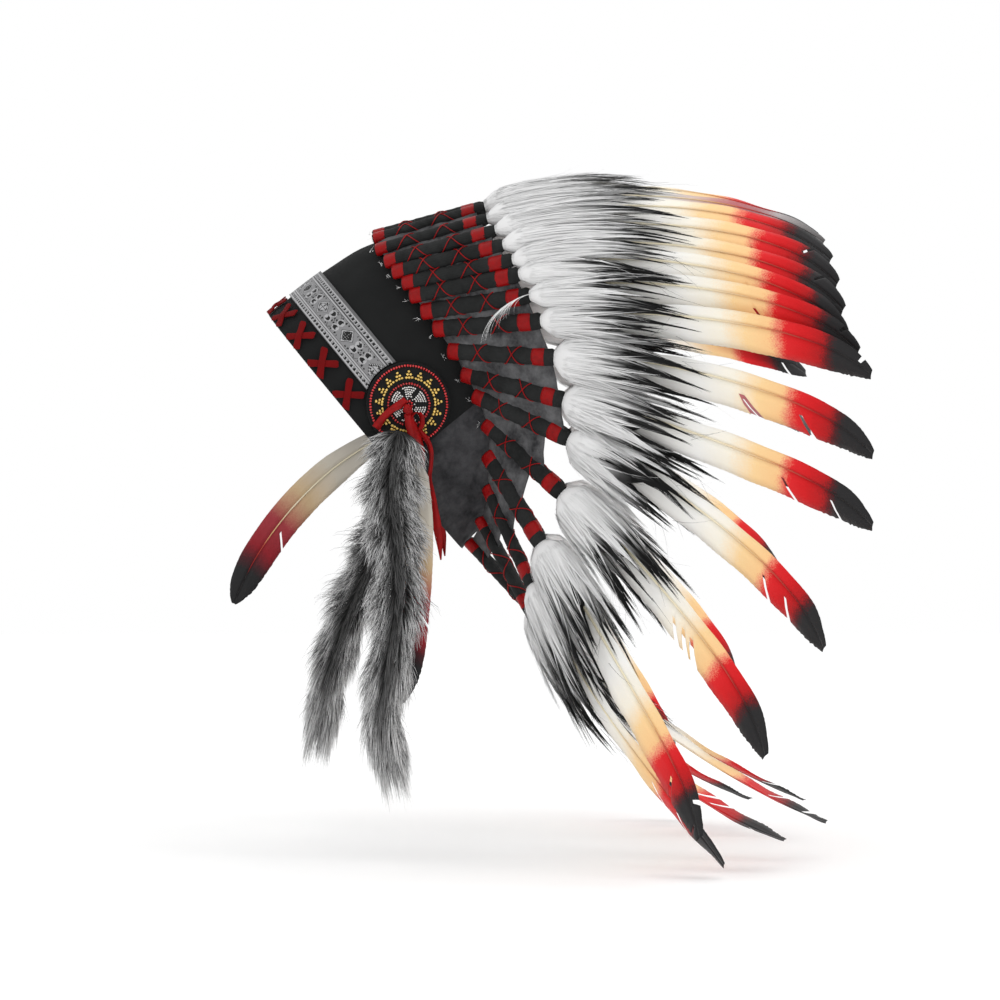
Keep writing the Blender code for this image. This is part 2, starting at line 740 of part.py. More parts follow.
def fan_places():
    """Each sleeve's start, direction, feather chord and width direction, from the right nape over
    the crown to the left nape, keyed by number with the right side negative."""
    rows = fan_rows()
    last = len(rows) - 1
    raw = {}
    for number in range(-last, last + 1):
        row = rows[abs(number)]
        side = -1 if number < 0 else 1
        angle, height = side * math.radians(row["turn"]), row["height"] * CAP_HEIGHT
        pitch = row["pitch"] - (row["lift"] if number < 0 else 0)
        ahead = side_direction(pitch, row["flare"], side)
        chord = side_direction(pitch + row["droop"], row["flare"], side)
        raw[number] = (crown(angle, height), ahead, chord, crown_normal(angle, height), row)
    places = {}
    for number, (root, ahead, chord, normal, row) in raw.items():
        before = raw.get(number - 1) or raw[last]
        after = raw.get(number + 1) or raw[-last]
        middle = SLEEVE_LENGTH + FEATHER_LENGTH / 2
        ring = (after[0] + after[1] * middle) - (before[0] + before[1] * middle)
        across = (ring - ahead * ring.dot(ahead)).normalized()
        off = SEAT_OFF - (FLAP_SEAT if abs(number) > SIDE_LAST else 0)
        start = seated(root + normal * SLEEVE_THICKNESS / 2, ahead, across, normal, off)
        places[number] = {"start": start, "ahead": ahead, "chord": chord, "across": across, "row": row}
    return places


def feather_ways(places):
    """Each feather's arc, and the room beside it: half the way to its neighbours' middle lines."""
    ways = {}
    for number, place in places.items():
        foot = place["start"] + place["ahead"] * (SLEEVE_LENGTH + GAP)
        arc = functools.partial(arc_places, foot, place["ahead"], place["chord"], FEATHER_LENGTH, place["across"])
        line = [place["start"] + place["ahead"] * SLEEVE_LENGTH * k / 8 for k in range(9)]
        line += [spot[0] for spot in arc([k / 12 for k in range(13)])]
        ways[number] = {"arc": arc, "line": line}
    for number, way in ways.items():
        rooms = []
        for share in (0.0, 0.1, 0.2, 0.3, 0.4):
            point = way["arc"]([share])[0][0]
            beside = [ways[other]["line"] for other in (number - 1, number + 1) if other in ways]
            rooms.append((share, PLUME_ROOM * min(distance_to_line(point, line) for line in beside)))
        way["rooms"] = rooms
    return ways


def distance_to_line(point, line):
    least = math.inf
    for a, b in zip(line, line[1:]):
        share = min(max((point - a).dot(b - a) / (b - a).length_squared, 0), 1)
        least = min(least, (point - a - (b - a) * share).length)
    return least


def seated(start, ahead, across, normal, off):
    """Moves a sleeve along the crown's normal until its nearest point lies this far off the crown."""
    face = across.cross(ahead)
    for _ in range(12):
        least = 1.0
        for step in range(11):
            middle = start + ahead * SLEEVE_LENGTH * step / 10
            for point in oval((middle, ahead, across, face), SLEEVE_WIDTH / 2, SLEEVE_THICKNESS / 2, 8):
                if to_cap(point)[2] > 0:
                    least = min(least, crown_clearance(point))
        start = start + normal * (off - least)
    return start


def sleeve(place, group):
    face = place["across"].cross(place["ahead"])
    rings = []
    for share in (0, 1):
        middle = place["start"] + place["ahead"] * SLEEVE_LENGTH * share
        rings.append(oval((middle, None, place["across"], face), SLEEVE_WIDTH / 2, SLEEVE_THICKNESS / 2, 8))
    return lofted("sleeve", rings, group)


def web(first, second, share, stop_short, group):
    """The backing cloth between two sleeves, from the middle of the first to that of the second,
    or to just short of the second where that one belongs to the next arc."""
    rings = []
    for at in (WEB_START, SLEEVE_LENGTH * min(share, WEB_MOST)):
        a, b = first["start"] + first["ahead"] * at, second["start"] + second["ahead"] * at
        line = (b - a).normalized()
        span = (b - a).length
        slant = math.sin(line.angle(second["ahead"]))
        end = span - (SLEEVE_WIDTH / 2 + 2 * GAP) / slant - WEB_THICKNESS if stop_short else span + WEB_OVERLAP
        up = line.cross(first["ahead"] + second["ahead"]).normalized() * WEB_THICKNESS / 2
        near, far = a - line * WEB_OVERLAP, a + line * end
        rings.append([near - up, far - up, far + up, near + up])
    return lofted("web", rings, group)


def fan_arc(name, numbers, places, group, lead_in=None, lead_out=None):
    """Sleeves and the web between them, as one sewn strip."""
    pieces = []
    for number in numbers:
        pieces.append(sleeve(places[number], group))
    for number, following in zip(numbers, numbers[1:]):
        row = places[number if abs(number) < abs(following) else following]["row"]
        pieces.append(web(places[number], places[following], row["web"], False, group))
    for own, other in ((numbers[0], lead_in), (numbers[-1], lead_out)):
        if other is not None:
            row = places[min(own, other, key=abs)]["row"]
            pieces.append(web(places[own], places[other], row["web"], True, group))
    return fused(name, pieces, "MANIFOLD")  # the exact solver loses some of these sleeves


def build():
    clear_scene()
    group = new_collection("feathered_headdress")
    felt = plain_material("black_felt", (0.018, 0.018, 0.020), 0.95)
    cloth = plain_material("charcoal_cloth", (0.050, 0.050, 0.054), 0.9)
    brocade = plain_material("grey_brocade", (0.42, 0.42, 0.43), 0.6)
    red_felt = plain_material("red_strap", (0.42, 0.012, 0.015), 0.8)
    beads = plain_material("seed_beads", (0.50, 0.06, 0.03), 0.3)
    satin = plain_material("red_satin", (0.55, 0.010, 0.012), 0.35)
    fur = plain_material("grey_fur", (0.22, 0.22, 0.23), 0.9)
    feather = plain_material("dyed_feather", (0.80, 0.78, 0.74), 0.7)

    finish(cap(group), felt)
    finish(neck_flap(group), cloth)
    finish(brow_band(group), brocade)
    for side, word in ((1, "left"), (-1, "right")):
        for k in range(CROSS_COUNT):
            distance = CROSS_FIRST + CROSS_SPACING * k
            finish(cross(f"cross_{word}_{k + 1}", distance, side, group), red_felt)
        finish(rosette(f"rosette_{word}", side, group), beads)
        finish(ribbon(f"ribbon_{word}", side, group), satin)
    finish(fur_drop("fur_drop_left", 1, FUR_LEAN_LEFT, FUR_OFF_LEFT, group), fur)
    finish(fur_drop("fur_drop_right", -1, FUR_LEAN_RIGHT, FUR_OFF_RIGHT, group), fur)
    finish(drop_feather("drop_feather_left", 1, *DROP_LEFT, group), feather)
    finish(drop_feather("drop_feather_right", -1, *DROP_RIGHT, group), feather)

    places = fan_places()
    last = len(FAN) - 1
    arcs = (
        ("fan_top", range(-TOP_LAST, TOP_LAST + 1), None, None),
        ("fan_left", range(TOP_LAST + 1, SIDE_LAST + 1), TOP_LAST, SIDE_LAST + 1),
        ("fan_right", range(-SIDE_LAST, -TOP_LAST), -SIDE_LAST - 1, -TOP_LAST),
    )
    for name, numbers, lead_in, lead_out in arcs:
        finish(fan_arc(name, list(numbers), places, group, lead_in, lead_out), felt)
    nape = [*range(SIDE_LAST + 1, last + 1), *range(-last, -SIDE_LAST)]
    finish(fan_arc("fan_nape", nape, places, group), felt)

    for number, way in feather_ways(places).items():
        name = "feather_top"
        if number:
            name = f"feather_{'left' if number > 0 else 'right'}_{abs(number):02d}"
        roll = math.radians(places[number]["row"]["roll"]) * (1 if number > 0 else -1)
        finish(long_feather(name, way, roll, number, group), feather)


build()
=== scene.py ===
import math

import bmesh
import bpy
import numpy as np
from mathutils import Matrix, Vector


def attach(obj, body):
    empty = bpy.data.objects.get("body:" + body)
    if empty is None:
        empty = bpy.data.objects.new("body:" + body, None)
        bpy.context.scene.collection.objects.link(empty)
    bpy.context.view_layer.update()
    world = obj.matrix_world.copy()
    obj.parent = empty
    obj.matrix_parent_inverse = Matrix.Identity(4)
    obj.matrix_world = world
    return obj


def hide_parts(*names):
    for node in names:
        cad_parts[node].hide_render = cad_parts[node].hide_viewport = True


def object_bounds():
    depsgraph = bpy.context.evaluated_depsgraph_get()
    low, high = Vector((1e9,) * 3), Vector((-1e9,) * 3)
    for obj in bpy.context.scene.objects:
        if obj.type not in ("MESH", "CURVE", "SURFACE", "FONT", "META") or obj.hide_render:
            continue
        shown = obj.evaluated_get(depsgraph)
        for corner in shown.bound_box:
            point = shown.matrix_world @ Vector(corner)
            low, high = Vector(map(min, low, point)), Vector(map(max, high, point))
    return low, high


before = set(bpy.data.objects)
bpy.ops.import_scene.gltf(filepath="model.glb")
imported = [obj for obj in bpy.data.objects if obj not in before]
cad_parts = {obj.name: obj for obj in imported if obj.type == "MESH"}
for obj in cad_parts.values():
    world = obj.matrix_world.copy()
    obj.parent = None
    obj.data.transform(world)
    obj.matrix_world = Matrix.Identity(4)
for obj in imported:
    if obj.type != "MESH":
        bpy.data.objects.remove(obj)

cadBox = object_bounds()
bpy.ops.object.select_all(action="DESELECT")
print("frame loaded")


# Helpers for meshes.

def showMesh(name, points, faces, material):
    mesh = bpy.data.meshes.new(name)
    mesh.from_pydata(points, [], faces)
    mesh.materials.append(material)
    mesh.polygons.foreach_set("use_smooth", [True] * len(mesh.polygons))
    made = bpy.data.objects.new(name, mesh)
    bpy.context.scene.collection.objects.link(made)
    return made


def pointsOf(piece):
    places = np.zeros(len(piece.data.vertices) * 3)
    piece.data.vertices.foreach_get("co", places)
    return places.reshape(-1, 3)


def movePoints(piece, places):
    piece.data.vertices.foreach_set("co", np.ascontiguousarray(places, dtype=np.float64).ravel())
    piece.data.update()
    return piece


def paintUv(piece, name, perPoint):
    layer = piece.data.uv_layers.new(name=name)
    corners = np.zeros(len(piece.data.loops), dtype=np.int32)
    piece.data.loops.foreach_get("vertex_index", corners)
    layer.data.foreach_set("uv", np.asarray(perPoint, dtype=np.float32)[corners].ravel())


def paintTone(piece, name, perPoint):
    tones = np.asarray(perPoint, dtype=np.float32)
    if tones.ndim == 1:
        tones = np.repeat(tones[:, None], 3, axis=1)
    layer = piece.data.attributes.new(name, "FLOAT_COLOR", "POINT")
    layer.data.foreach_set("color", np.column_stack([tones, np.ones(len(tones), np.float32)]).ravel())


def pick(piece):
    bpy.ops.object.select_all(action="DESELECT")
    piece.select_set(True)
    bpy.context.view_layer.objects.active = piece


def applyAll(piece):
    pick(piece)
    for modifier in list(piece.modifiers):
        bpy.ops.object.modifier_apply(modifier=modifier.name)
    piece.select_set(False)
    return piece


def thicken(piece, wall, offset=-1.0):
    modifier = piece.modifiers.new("wall", "SOLIDIFY")
    modifier.thickness, modifier.offset = wall, offset
    return applyAll(piece)


def soften(piece, width):
    modifier = piece.modifiers.new("soft", "BEVEL")
    modifier.width, modifier.segments = width, 2
    modifier.limit_method, modifier.angle_limit = "ANGLE", math.radians(50)
    return applyAll(piece)


def joined(name, pieces):
    pick(pieces[0])
    for piece in pieces:
        piece.select_set(True)
    if len(pieces) > 1:
        bpy.ops.object.join()
    pieces[0].name = pieces[0].data.name = name
    pieces[0].select_set(False)
    return pieces[0]


def copyOf(master, name):
    made = master.copy()
    made.data = master.data.copy()
    made.name = made.data.name = name
    bpy.context.scene.collection.objects.link(made)
    return made


def discard(*pieces):
    for piece in pieces:
        bpy.data.objects.remove(piece, do_unlink=True)


def hang(piece, slotName, *nodes):
    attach(piece, "root")
    if nodes:
        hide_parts(*nodes)
    return piece


def gridFaces(rows, columns, closed=False):
    # quads between rows of points; in a closed row the last point meets the first
    perRow, faces = columns if closed else columns + 1, []
    for first in range(0, rows * perRow, perRow):
        for k in range(columns):
            a, b = first + k, first + (k + 1) % perRow
            faces.append((a, b, b + perRow, a + perRow))
    return faces


def tubeFaces(rings, sides):
    last = (rings - 1) * sides
    return [tuple(range(sides))[::-1], tuple(range(last, last + sides)), *gridFaces(rings - 1, sides, True)]


def unit(ways):
    return ways / (np.linalg.norm(ways, axis=-1, keepdims=True) + 1e-12)


def tube(path, radii, sides=6):
    path = np.asarray(path, dtype=float)
    ahead = unit(np.gradient(path, axis=0))
    up = np.cross(ahead[0], [0.31, 0.77, 0.55])
    swing = (2 * np.pi * np.arange(sides) / sides)[:, None]
    rings = []
    for point, way, radius in zip(path, ahead, radii):
        up = unit(up - way * np.dot(up, way))
        rings.append(point + radius * (np.cos(swing) * up + np.sin(swing) * np.cross(way, up)))
    return np.concatenate(rings), tubeFaces(len(path), sides)


def ball(segments, rings):
    # a sphere's points, and its faces in an order that is the same each run
    bpy.ops.mesh.primitive_uv_sphere_add(segments=segments, ring_count=rings, radius=1)
    made, faces = bpy.context.object, []
    for face in made.data.polygons:
        corners = list(face.vertices)
        first = corners.index(min(corners))
        faces.append(tuple(corners[first:] + corners[:first]))
    points = pointsOf(made)
    discard(made)
    return points, sorted(faces)


def flowing(knots, count):
    # a smooth line through the knots
    knots = np.asarray(knots, dtype=float)
    ends = np.vstack([2 * knots[0] - knots[1], knots, 2 * knots[-1] - knots[-2]])
    line = []
    for at in np.linspace(0, len(knots) - 1 - 1e-9, count):
        k, t = int(at), at - int(at)
        a, b, c, d = ends[k:k + 4]
        line.append(0.5 * (2 * b + (c - a) * t + (2 * a - 5 * b + 4 * c - d) * t * t
                           + (3 * b - a - 3 * c + d) * t ** 3))
    return np.array(line)


def stepped(low, high, at):
    # smooth step from 0 at low to 1 at high
    t = np.clip((at - low) / (high - low), 0, 1)
    return t * t * (3 - 2 * t)


# Helpers for materials.

def startMaterial(name, colour, roughness, **sockets):
    made = bpy.data.materials.new(name)
    made.use_nodes = True
    tree = made.node_tree
    shader = tree.nodes["Principled BSDF"]
    if colour is not None:
        shader.inputs["Base Color"].default_value = (*colour, 1)
    if roughness is not None:
        shader.inputs["Roughness"].default_value = roughness
    for socket, value in sockets.items():
        shader.inputs[socket.replace("_", " ")].default_value = value
    return made, tree, shader


def put(tree, kind, sockets=None, **settings):
    node = tree.nodes.new(kind)
    for key, value in settings.items():
        setattr(node, key, value)
    for key, value in (sockets or {}).items():
        if isinstance(value, bpy.types.NodeSocket):
            tree.links.new(value, node.inputs[key])
        else:
            node.inputs[key].default_value = value
    return node


def sums(tree, operation, first, second=0.0, third=0.0):
    return put(tree, "ShaderNodeMath", {0: first, 1: second, 2: third}, operation=operation).outputs[0]


def noise(tree, where, scale, detail=3.0, roughness=0.55):
    return put(tree, "ShaderNodeTexNoise", {
        "Vector": where, "Scale": scale, "Detail": detail, "Roughness": roughness}).outputs["Fac"]


def wave(tree, where, scale, distortion, detail=2.0, way="X"):
    return put(tree, "ShaderNodeTexWave", {"Vector": where, "Scale": scale, "Distortion": distortion,
                                           "Detail": detail}, bands_direction=way).outputs["Fac"]


def flatPlace(tree, along, across):
    return put(tree, "ShaderNodeCombineXYZ", {0: along, 1: across}).outputs[0]


def painted(tree, name):
    return put(tree, "ShaderNodeAttribute", attribute_name=name).outputs["Color"]


def ramp(tree, factor, stops):
    node = put(tree, "ShaderNodeValToRGB", {"Fac": factor})
    while len(node.color_ramp.elements) < len(stops):
        node.color_ramp.elements.new(0.5)
    for element, (place, colour) in zip(node.color_ramp.elements, stops):
        element.position, element.color = place, (*colour, 1)
    return node.outputs["Color"]


def blendColours(tree, factor, first, second, kind="MIX"):
    node = put(tree, "ShaderNodeMix", {"Factor": factor}, data_type="RGBA", blend_type=kind)
    for socket, value in ((node.inputs[6], first), (node.inputs[7], second)):
        if isinstance(value, bpy.types.NodeSocket):
            tree.links.new(value, socket)
        else:
            socket.default_value = (*value, 1)
    return node.outputs[2]


def relief(tree, shader, height, strength, distance):
    node = put(tree, "ShaderNodeBump", {"Height": height, "Strength": strength, "Distance": distance})
    tree.links.new(node.outputs[0], shader.inputs["Normal"])


def objectPlace(tree):
    return put(tree, "ShaderNodeTexCoord").outputs["Object"]


def uvPlace(tree, name):
    return put(tree, "ShaderNodeUVMap", uv_map=name).outputs[0]


def apart(tree, vector):
    node = put(tree, "ShaderNodeSeparateXYZ", {0: vector})
    return node.outputs[0], node.outputs[1]


def toColour(tree, shader, colour):
    tree.links.new(colour, shader.inputs["Base Color"])


def toShaded(tree, shader, pattern, amount, colour, shade):
    # the colour, darkened by a pattern
    factor = sums(tree, "MULTIPLY", pattern, amount)
    toColour(tree, shader, blendColours(tree, factor, colour, shade, "MULTIPLY"))


def toRoughness(tree, shader, factor, low, high):
    node = put(tree, "ShaderNodeMapRange", {"Value": factor, "To Min": low, "To Max": high})
    tree.links.new(node.outputs[0], shader.inputs["Roughness"])


# Finishes.

def feltFinish(name, dark, light, fibre=2600.0):
    made, tree, shader = startMaterial(name, dark, 0.92, Specular_IOR_Level=0.18)
    place = objectPlace(tree)
    fine = noise(tree, place, fibre, 4.0, 0.65)
    broad = noise(tree, place, 38.0, 3.0)
    toColour(tree, shader, blendColours(tree, sums(tree, "MULTIPLY", fine, broad), dark, light))
    toRoughness(tree, shader, fine, 0.82, 1.0)
    relief(tree, shader, fine, 0.55, 0.0006)
    return made


def wovenFinish(name, dark, light, pitch):
    # plain weave on the object's own coordinates, with slubs, and broad light and dark patches painted in as
    # the light and shade of folds and crumples
    made, tree, shader = startMaterial(name, dark, 0.85, Specular_IOR_Level=0.25)
    place = objectPlace(tree)
    weave = sums(tree, "MULTIPLY", *(wave(tree, place, pitch, 0.6, 1.0, way) for way in ("Z", "DIAGONAL")))
    # the fine noise is the yarn's slubs; the broad noise paints in the light and shade of folds and crumples
    slub, foldLightAndShade = noise(tree, place, 90.0, 5.0, 0.7), noise(tree, place, 26.0, 4.0, 0.65)
    shade = sums(tree, "MULTIPLY_ADD", sums(tree, "ADD", slub, foldLightAndShade), 2.2, -1.7)
    toColour(tree, shader, blendColours(tree, shade, dark, light))
    toRoughness(tree, shader, slub, 0.77, 0.95)
    relief(tree, shader, sums(tree, "MULTIPLY_ADD", weave, 0.5, slub), 0.5, 0.0004)
    return made


def satinFinish(name, dark, light):
    # fine threads across the ribbon, on its own UV
    made, tree, shader = startMaterial(name, dark, 0.42, Specular_IOR_Level=0.18)
    threads = wave(tree, uvPlace(tree, "wrap"), 9.0, 1.4)
    cloud = noise(tree, objectPlace(tree), 160.0, 3.0)
    toColour(tree, shader, blendColours(tree, sums(tree, "MULTIPLY_ADD", threads, 0.35, cloud), dark, light))
    toRoughness(tree, shader, cloud, 0.32, 0.52)
    relief(tree, shader, threads, 0.3, 0.0002)
    return made


def hairFinish(name, roughness, streaks):
    # colour painted strand by strand, with fine streaks along it
    made, tree, shader = startMaterial(name, None, roughness, Specular_IOR_Level=0.12, Sheen_Weight=0.1)
    streak = noise(tree, objectPlace(tree), 900.0, 2.0)
    toShaded(tree, shader, streak, streaks, painted(tree, "hair"), (0.30, 0.30, 0.30))
    toRoughness(tree, shader, streak, roughness - 0.1, roughness + 0.1)
    return made


def vaneFinish(name, stops, roughness=0.6):
    # the dye is sprayed: nearly straight across, grainy, and pulled a little along the barbs
    made, tree, shader = startMaterial(name, None, roughness, Specular_IOR_Level=0.18, Sheen_Weight=0.1)
    along, across = apart(tree, uvPlace(tree, "place"))
    barb, _ = apart(tree, uvPlace(tree, "barb"))
    barbLine = flatPlace(tree, barb, sums(tree, "MULTIPLY", across, 0.03))
    streaks = noise(tree, barbLine, 110.0, 4.0, 0.7)
    spray = noise(tree, objectPlace(tree), 1100.0, 2.0, 0.6)
    cloud = noise(tree, objectPlace(tree), 60.0, 2.0)
    mixed = sums(tree, "MULTIPLY_ADD", along, 0.86, sums(tree, "MULTIPLY", barb, 0.14))
    for pattern, size in ((streaks, 0.022), (spray, 0.060), (cloud, 0.040)):
        mixed = sums(tree, "MULTIPLY_ADD", sums(tree, "SUBTRACT", pattern, 0.5), size, mixed)
    fine = noise(tree, barbLine, 520.0, 2.0)
    toShaded(tree, shader, fine, 0.16, ramp(tree, mixed, stops), (0.62, 0.60, 0.58))
    ridges = wave(tree, barbLine, 60.0, 1.0, 1.0)
    toRoughness(tree, shader, fine, roughness - 0.1, roughness + 0.15)
    relief(tree, shader, sums(tree, "MULTIPLY_ADD", streaks, 0.8, ridges), 0.30, 0.0004)
    return made


def beadFinish(name):
    made, tree, shader = startMaterial(name, None, 0.14, Specular_IOR_Level=0.6, Coat_Weight=0.5,
                                       Coat_Roughness=0.08)
    cloud = noise(tree, objectPlace(tree), 1400.0, 2.0)
    toShaded(tree, shader, cloud, 0.5, painted(tree, "bead"), (0.45, 0.42, 0.42))
    toRoughness(tree, shader, cloud, 0.10, 0.26)
    return made


def brocadeFinish(name):
    made, tree, shader = startMaterial(name, None, 0.5, Specular_IOR_Level=0.25)
    place = uvPlace(tree, "weave")
    threads = sums(tree, "MULTIPLY", *(wave(tree, place, 180.0, 0.8, way=way) for way in "XY"))
    toShaded(tree, shader, threads, 0.45, painted(tree, "figure"), (0.55, 0.55, 0.57))
    toRoughness(tree, shader, threads, 0.42, 0.66)
    relief(tree, shader, threads, 0.4, 0.0003)
    return made


dyeStops = [(0.0, (0.86, 0.86, 0.84)), (0.44, (0.92, 0.91, 0.88)), (0.54, (0.93, 0.87, 0.74)),
            (0.62, (0.95, 0.66, 0.33)), (0.69, (0.94, 0.58, 0.27)), (0.712, (0.84, 0.24, 0.15)),
            (0.732, (0.72, 0.012, 0.016)), (0.79, (0.62, 0.004, 0.007)), (0.835, (0.44, 0.004, 0.006)),
            (0.862, (0.09, 0.006, 0.008)), (0.882, (0.018, 0.017, 0.018)), (1.0, (0.013, 0.013, 0.014))]
shaftStops = [(0.0, (0.74, 0.68, 0.52)), (0.50, (0.86, 0.78, 0.58)), (0.66, (0.72, 0.44, 0.20)),
              (0.72, (0.56, 0.08, 0.05)), (0.82, (0.34, 0.008, 0.010)), (0.87, (0.02, 0.015, 0.015)),
              (1.0, (0.02, 0.018, 0.018))]
greyDyeStops = [(0.0, (0.84, 0.84, 0.83)), (0.50, (0.70, 0.69, 0.68)), (0.60, (0.62, 0.44, 0.38)),
                (0.70, (0.46, 0.12, 0.13)), (0.78, (0.36, 0.14, 0.15)), (0.83, (0.42, 0.38, 0.38)),
                (0.92, (0.16, 0.15, 0.15)), (1.0, (0.06, 0.055, 0.055))]
# the drop feathers' ramp: the long feathers' white, tan, red and black, darkened throughout as painted shade
shadedDropStops = [(0.0, (0.50, 0.48, 0.45)), (0.30, (0.62, 0.57, 0.48)), (0.46, (0.60, 0.44, 0.26)),
             (0.54, (0.46, 0.20, 0.13)), (0.60, (0.34, 0.04, 0.05)), (0.74, (0.26, 0.010, 0.018)),
             (0.80, (0.060, 0.012, 0.016)), (0.85, (0.016, 0.016, 0.017)), (1.0, (0.014, 0.014, 0.015))]

blackFelt = feltFinish("blackFelt", (0.0060, 0.0064, 0.0066), (0.020, 0.021, 0.021))
redFelt = feltFinish("redFelt", (0.09, 0.0006, 0.0012), (0.30, 0.0012, 0.002), 1800.0)
# the woven cloths' light tones show both on slubs and as the painted light of folds and crumples
charcoalCloth = wovenFinish("charcoalCloth", (0.012, 0.012, 0.014), (0.062, 0.062, 0.066), 420.0)
webCloth = wovenFinish("webCloth", (0.020, 0.020, 0.022), (0.120, 0.120, 0.124), 300.0)
sleeveCloth = wovenFinish("sleeveCloth", (0.0065, 0.007, 0.007), (0.018, 0.019, 0.019), 520.0)
redSatin = satinFinish("redSatin", (0.085, 0.0004, 0.0008), (0.33, 0.0006, 0.0012))
redThread = satinFinish("redThread", (0.13, 0.0006, 0.001), (0.33, 0.0008, 0.0015))
brocade = brocadeFinish("brocade")
beadGlass = beadFinish("beadGlass")
fluff = hairFinish("fluff", 0.75, 0.12)
furHair = hairFinish("furHair", 0.6, 0.25)
dyedVane = vaneFinish("dyedVane", dyeStops)
dyedShaft = vaneFinish("dyedShaft", shaftStops, 0.45)
greyVane = vaneFinish("greyVane", greyDyeStops)
shadedDropVane = vaneFinish("shadedDropVane", shadedDropStops)
print("finishes ready")


# The crown, as the part has it: "along" runs on the rim's plane, "height" stands square to it.

crownForm = {
    "length": 0.238, "front": 0.084, "height": 0.154, "halfWidth": 0.078, "tilt": math.radians(50.4),
    "browForward": 0.0983, "browUp": 0.0234, "fullFront": 2.85, "fullSide": 2.3, "fullBack": 2.1,
}


def fromCap(along, across, height):
    c, s = math.cos(crownForm["tilt"]), math.sin(crownForm["tilt"])
    return Vector((across, -crownForm["browForward"] + along * c + height * s,
                   crownForm["browUp"] - along * s + height * c))


def toCap(point):
    c, s = math.cos(crownForm["tilt"]), math.sin(crownForm["tilt"])
    y, z = point[1] + crownForm["browForward"], point[2] - crownForm["browUp"]
    return y * c - z * s, point[0], y * s + z * c


def fullness(angle):
    facing = math.cos(angle)
    end = crownForm["fullFront"] if facing > 0 else crownForm["fullBack"]
    return crownForm["fullSide"] + (end - crownForm["fullSide"]) * facing * facing


def reachAt(angle):
    return crownForm["front"] if math.cos(angle) > 0 else crownForm["length"] - crownForm["front"]


def crown(angle, height):
    power = fullness(angle)
    lift = min(max(height / crownForm["height"], 0), 1)
    spread = max(1 - lift ** power, 0) ** (1 / power)
    along = crownForm["front"] - reachAt(angle) * spread * math.cos(angle)
    return fromCap(along, crownForm["halfWidth"] * spread * math.sin(angle), height)


def crownNormal(angle, height):
    roundIt = crown(angle + 0.002, height) - crown(angle - 0.002, height)
    upIt = crown(angle, height + 0.0002) - crown(angle, height - 0.0002)
    normal = roundIt.cross(upIt).normalized()
    outwards = crown(angle, height) - fromCap(crownForm["front"], 0, 0)
    return normal if normal.dot(outwards) > 0 else -normal


def onCrown(angle, height, off):
    return crown(angle, height) + crownNormal(angle, height) * off


def crownClearance(point):
    along, across, height = toCap(point)
    forward = crownForm["front"] - along
    span = crownForm["front"] if forward > 0 else crownForm["length"] - crownForm["front"]
    share = math.hypot(forward / span, across / crownForm["halfWidth"])
    power = fullness(math.atan2(across / crownForm["halfWidth"], forward / span))
    level = (share ** power + max(height / crownForm["height"], 0) ** power) ** (1 / power)
    return (1 - 1 / level) * (point - fromCap(crownForm["front"], 0, 0)).length


def lastAngle(high, holds):
    # the largest angle at which it still holds
    low = 0.0
    for _ in range(40):
        middle = (low + high) / 2
        low, high = (middle, high) if holds(middle) else (low, middle)
    return low


def angleOfAlong(along, height):
    return lastAngle(math.pi, lambda angle: toCap(crown(angle, height))[0] < along)


# Cap and neck flap.

capForm = {"turns": 112, "rings": 34, "wall": 0.0021, "seam": 0.158, "seamGap": 0.0006, "lump": 0.0006}
flapForm = {"turns": 150, "rings": 56, "wall": 0.0009, "foldDepth": 0.0042, "fade": 0.026, "tucked": 0.0025,
            "inset": 0.0006}


def lumps(point, scale, seed=0.0):
    # a smooth wobble in space, from -1 to 1
    x, y, z = point[0] * scale, point[1] * scale, point[2] * scale
    return (math.sin(1.3 * x + 2.1 * y + seed) + math.sin(2.3 * y - 1.7 * z + 1.9 * seed)
            + math.sin(1.1 * z + 2.9 * x + 0.7 * seed)) / 3


def flapFold(point, along):
    # soft folds that run from the rosettes down to the nape
    fade = min(max((along - capForm["seam"]) / flapForm["fade"], 0), 1)
    slant = (point[1] * 0.62 + point[2] * 0.78) * 150 + 1.8 * lumps(point, 26)
    wave = 0.5 + 0.5 * math.sin(slant + 0.9 * math.sin(slant * 0.37))
    return flapForm["foldDepth"] * fade * (0.60 * wave ** 1.5 + 0.30 * (0.5 + 0.5 * lumps(point, 85, 2.0)))


def crownShell(name, turns, rings, capSide, material):
    power = crownForm["fullSide"]
    heights = [crownForm["height"] * math.sin(math.pi / 2 * k / rings) ** (2 / power) for k in range(rings)]
    points = []
    for height in heights:
        for k in range(turns):
            angle = 2 * math.pi * k / turns
            point = crown(angle, height)
            normal = crownNormal(angle, height)
            if capSide:
                point += normal * capForm["lump"] * lumps(point, 90) * min(height / 0.02, 1)
            else:
                point -= normal * (flapFold(point, toCap(point)[0]) + flapForm["inset"])
            points.append(point)
    points.append(fromCap(crownForm["front"], 0, crownForm["height"]))
    last = (rings - 1) * turns
    faces = gridFaces(rings - 1, turns, True)
    faces += [(last + k, last + (k + 1) % turns, len(points) - 1) for k in range(turns)]
    made = showMesh(name, points, faces, material)
    pick(made)
    bpy.ops.object.mode_set(mode="EDIT")
    bpy.ops.mesh.select_all(action="SELECT")
    bpy.ops.mesh.normals_make_consistent(inside=False)
    seam = capForm["seam"] - (capForm["seamGap"] / 2 if capSide else flapForm["tucked"])
    bpy.ops.mesh.bisect(
        plane_co=fromCap(seam, 0, 0),
        plane_no=fromCap(1, 0, 0) - fromCap(0, 0, 0), clear_outer=capSide, clear_inner=not capSide)
    bpy.ops.object.mode_set(mode="OBJECT")
    return made


cap = crownShell("feltCap", capForm["turns"], capForm["rings"], True, blackFelt)
thicken(cap, capForm["wall"])
soften(cap, 0.0005)
hang(cap, "black_felt", "cap")

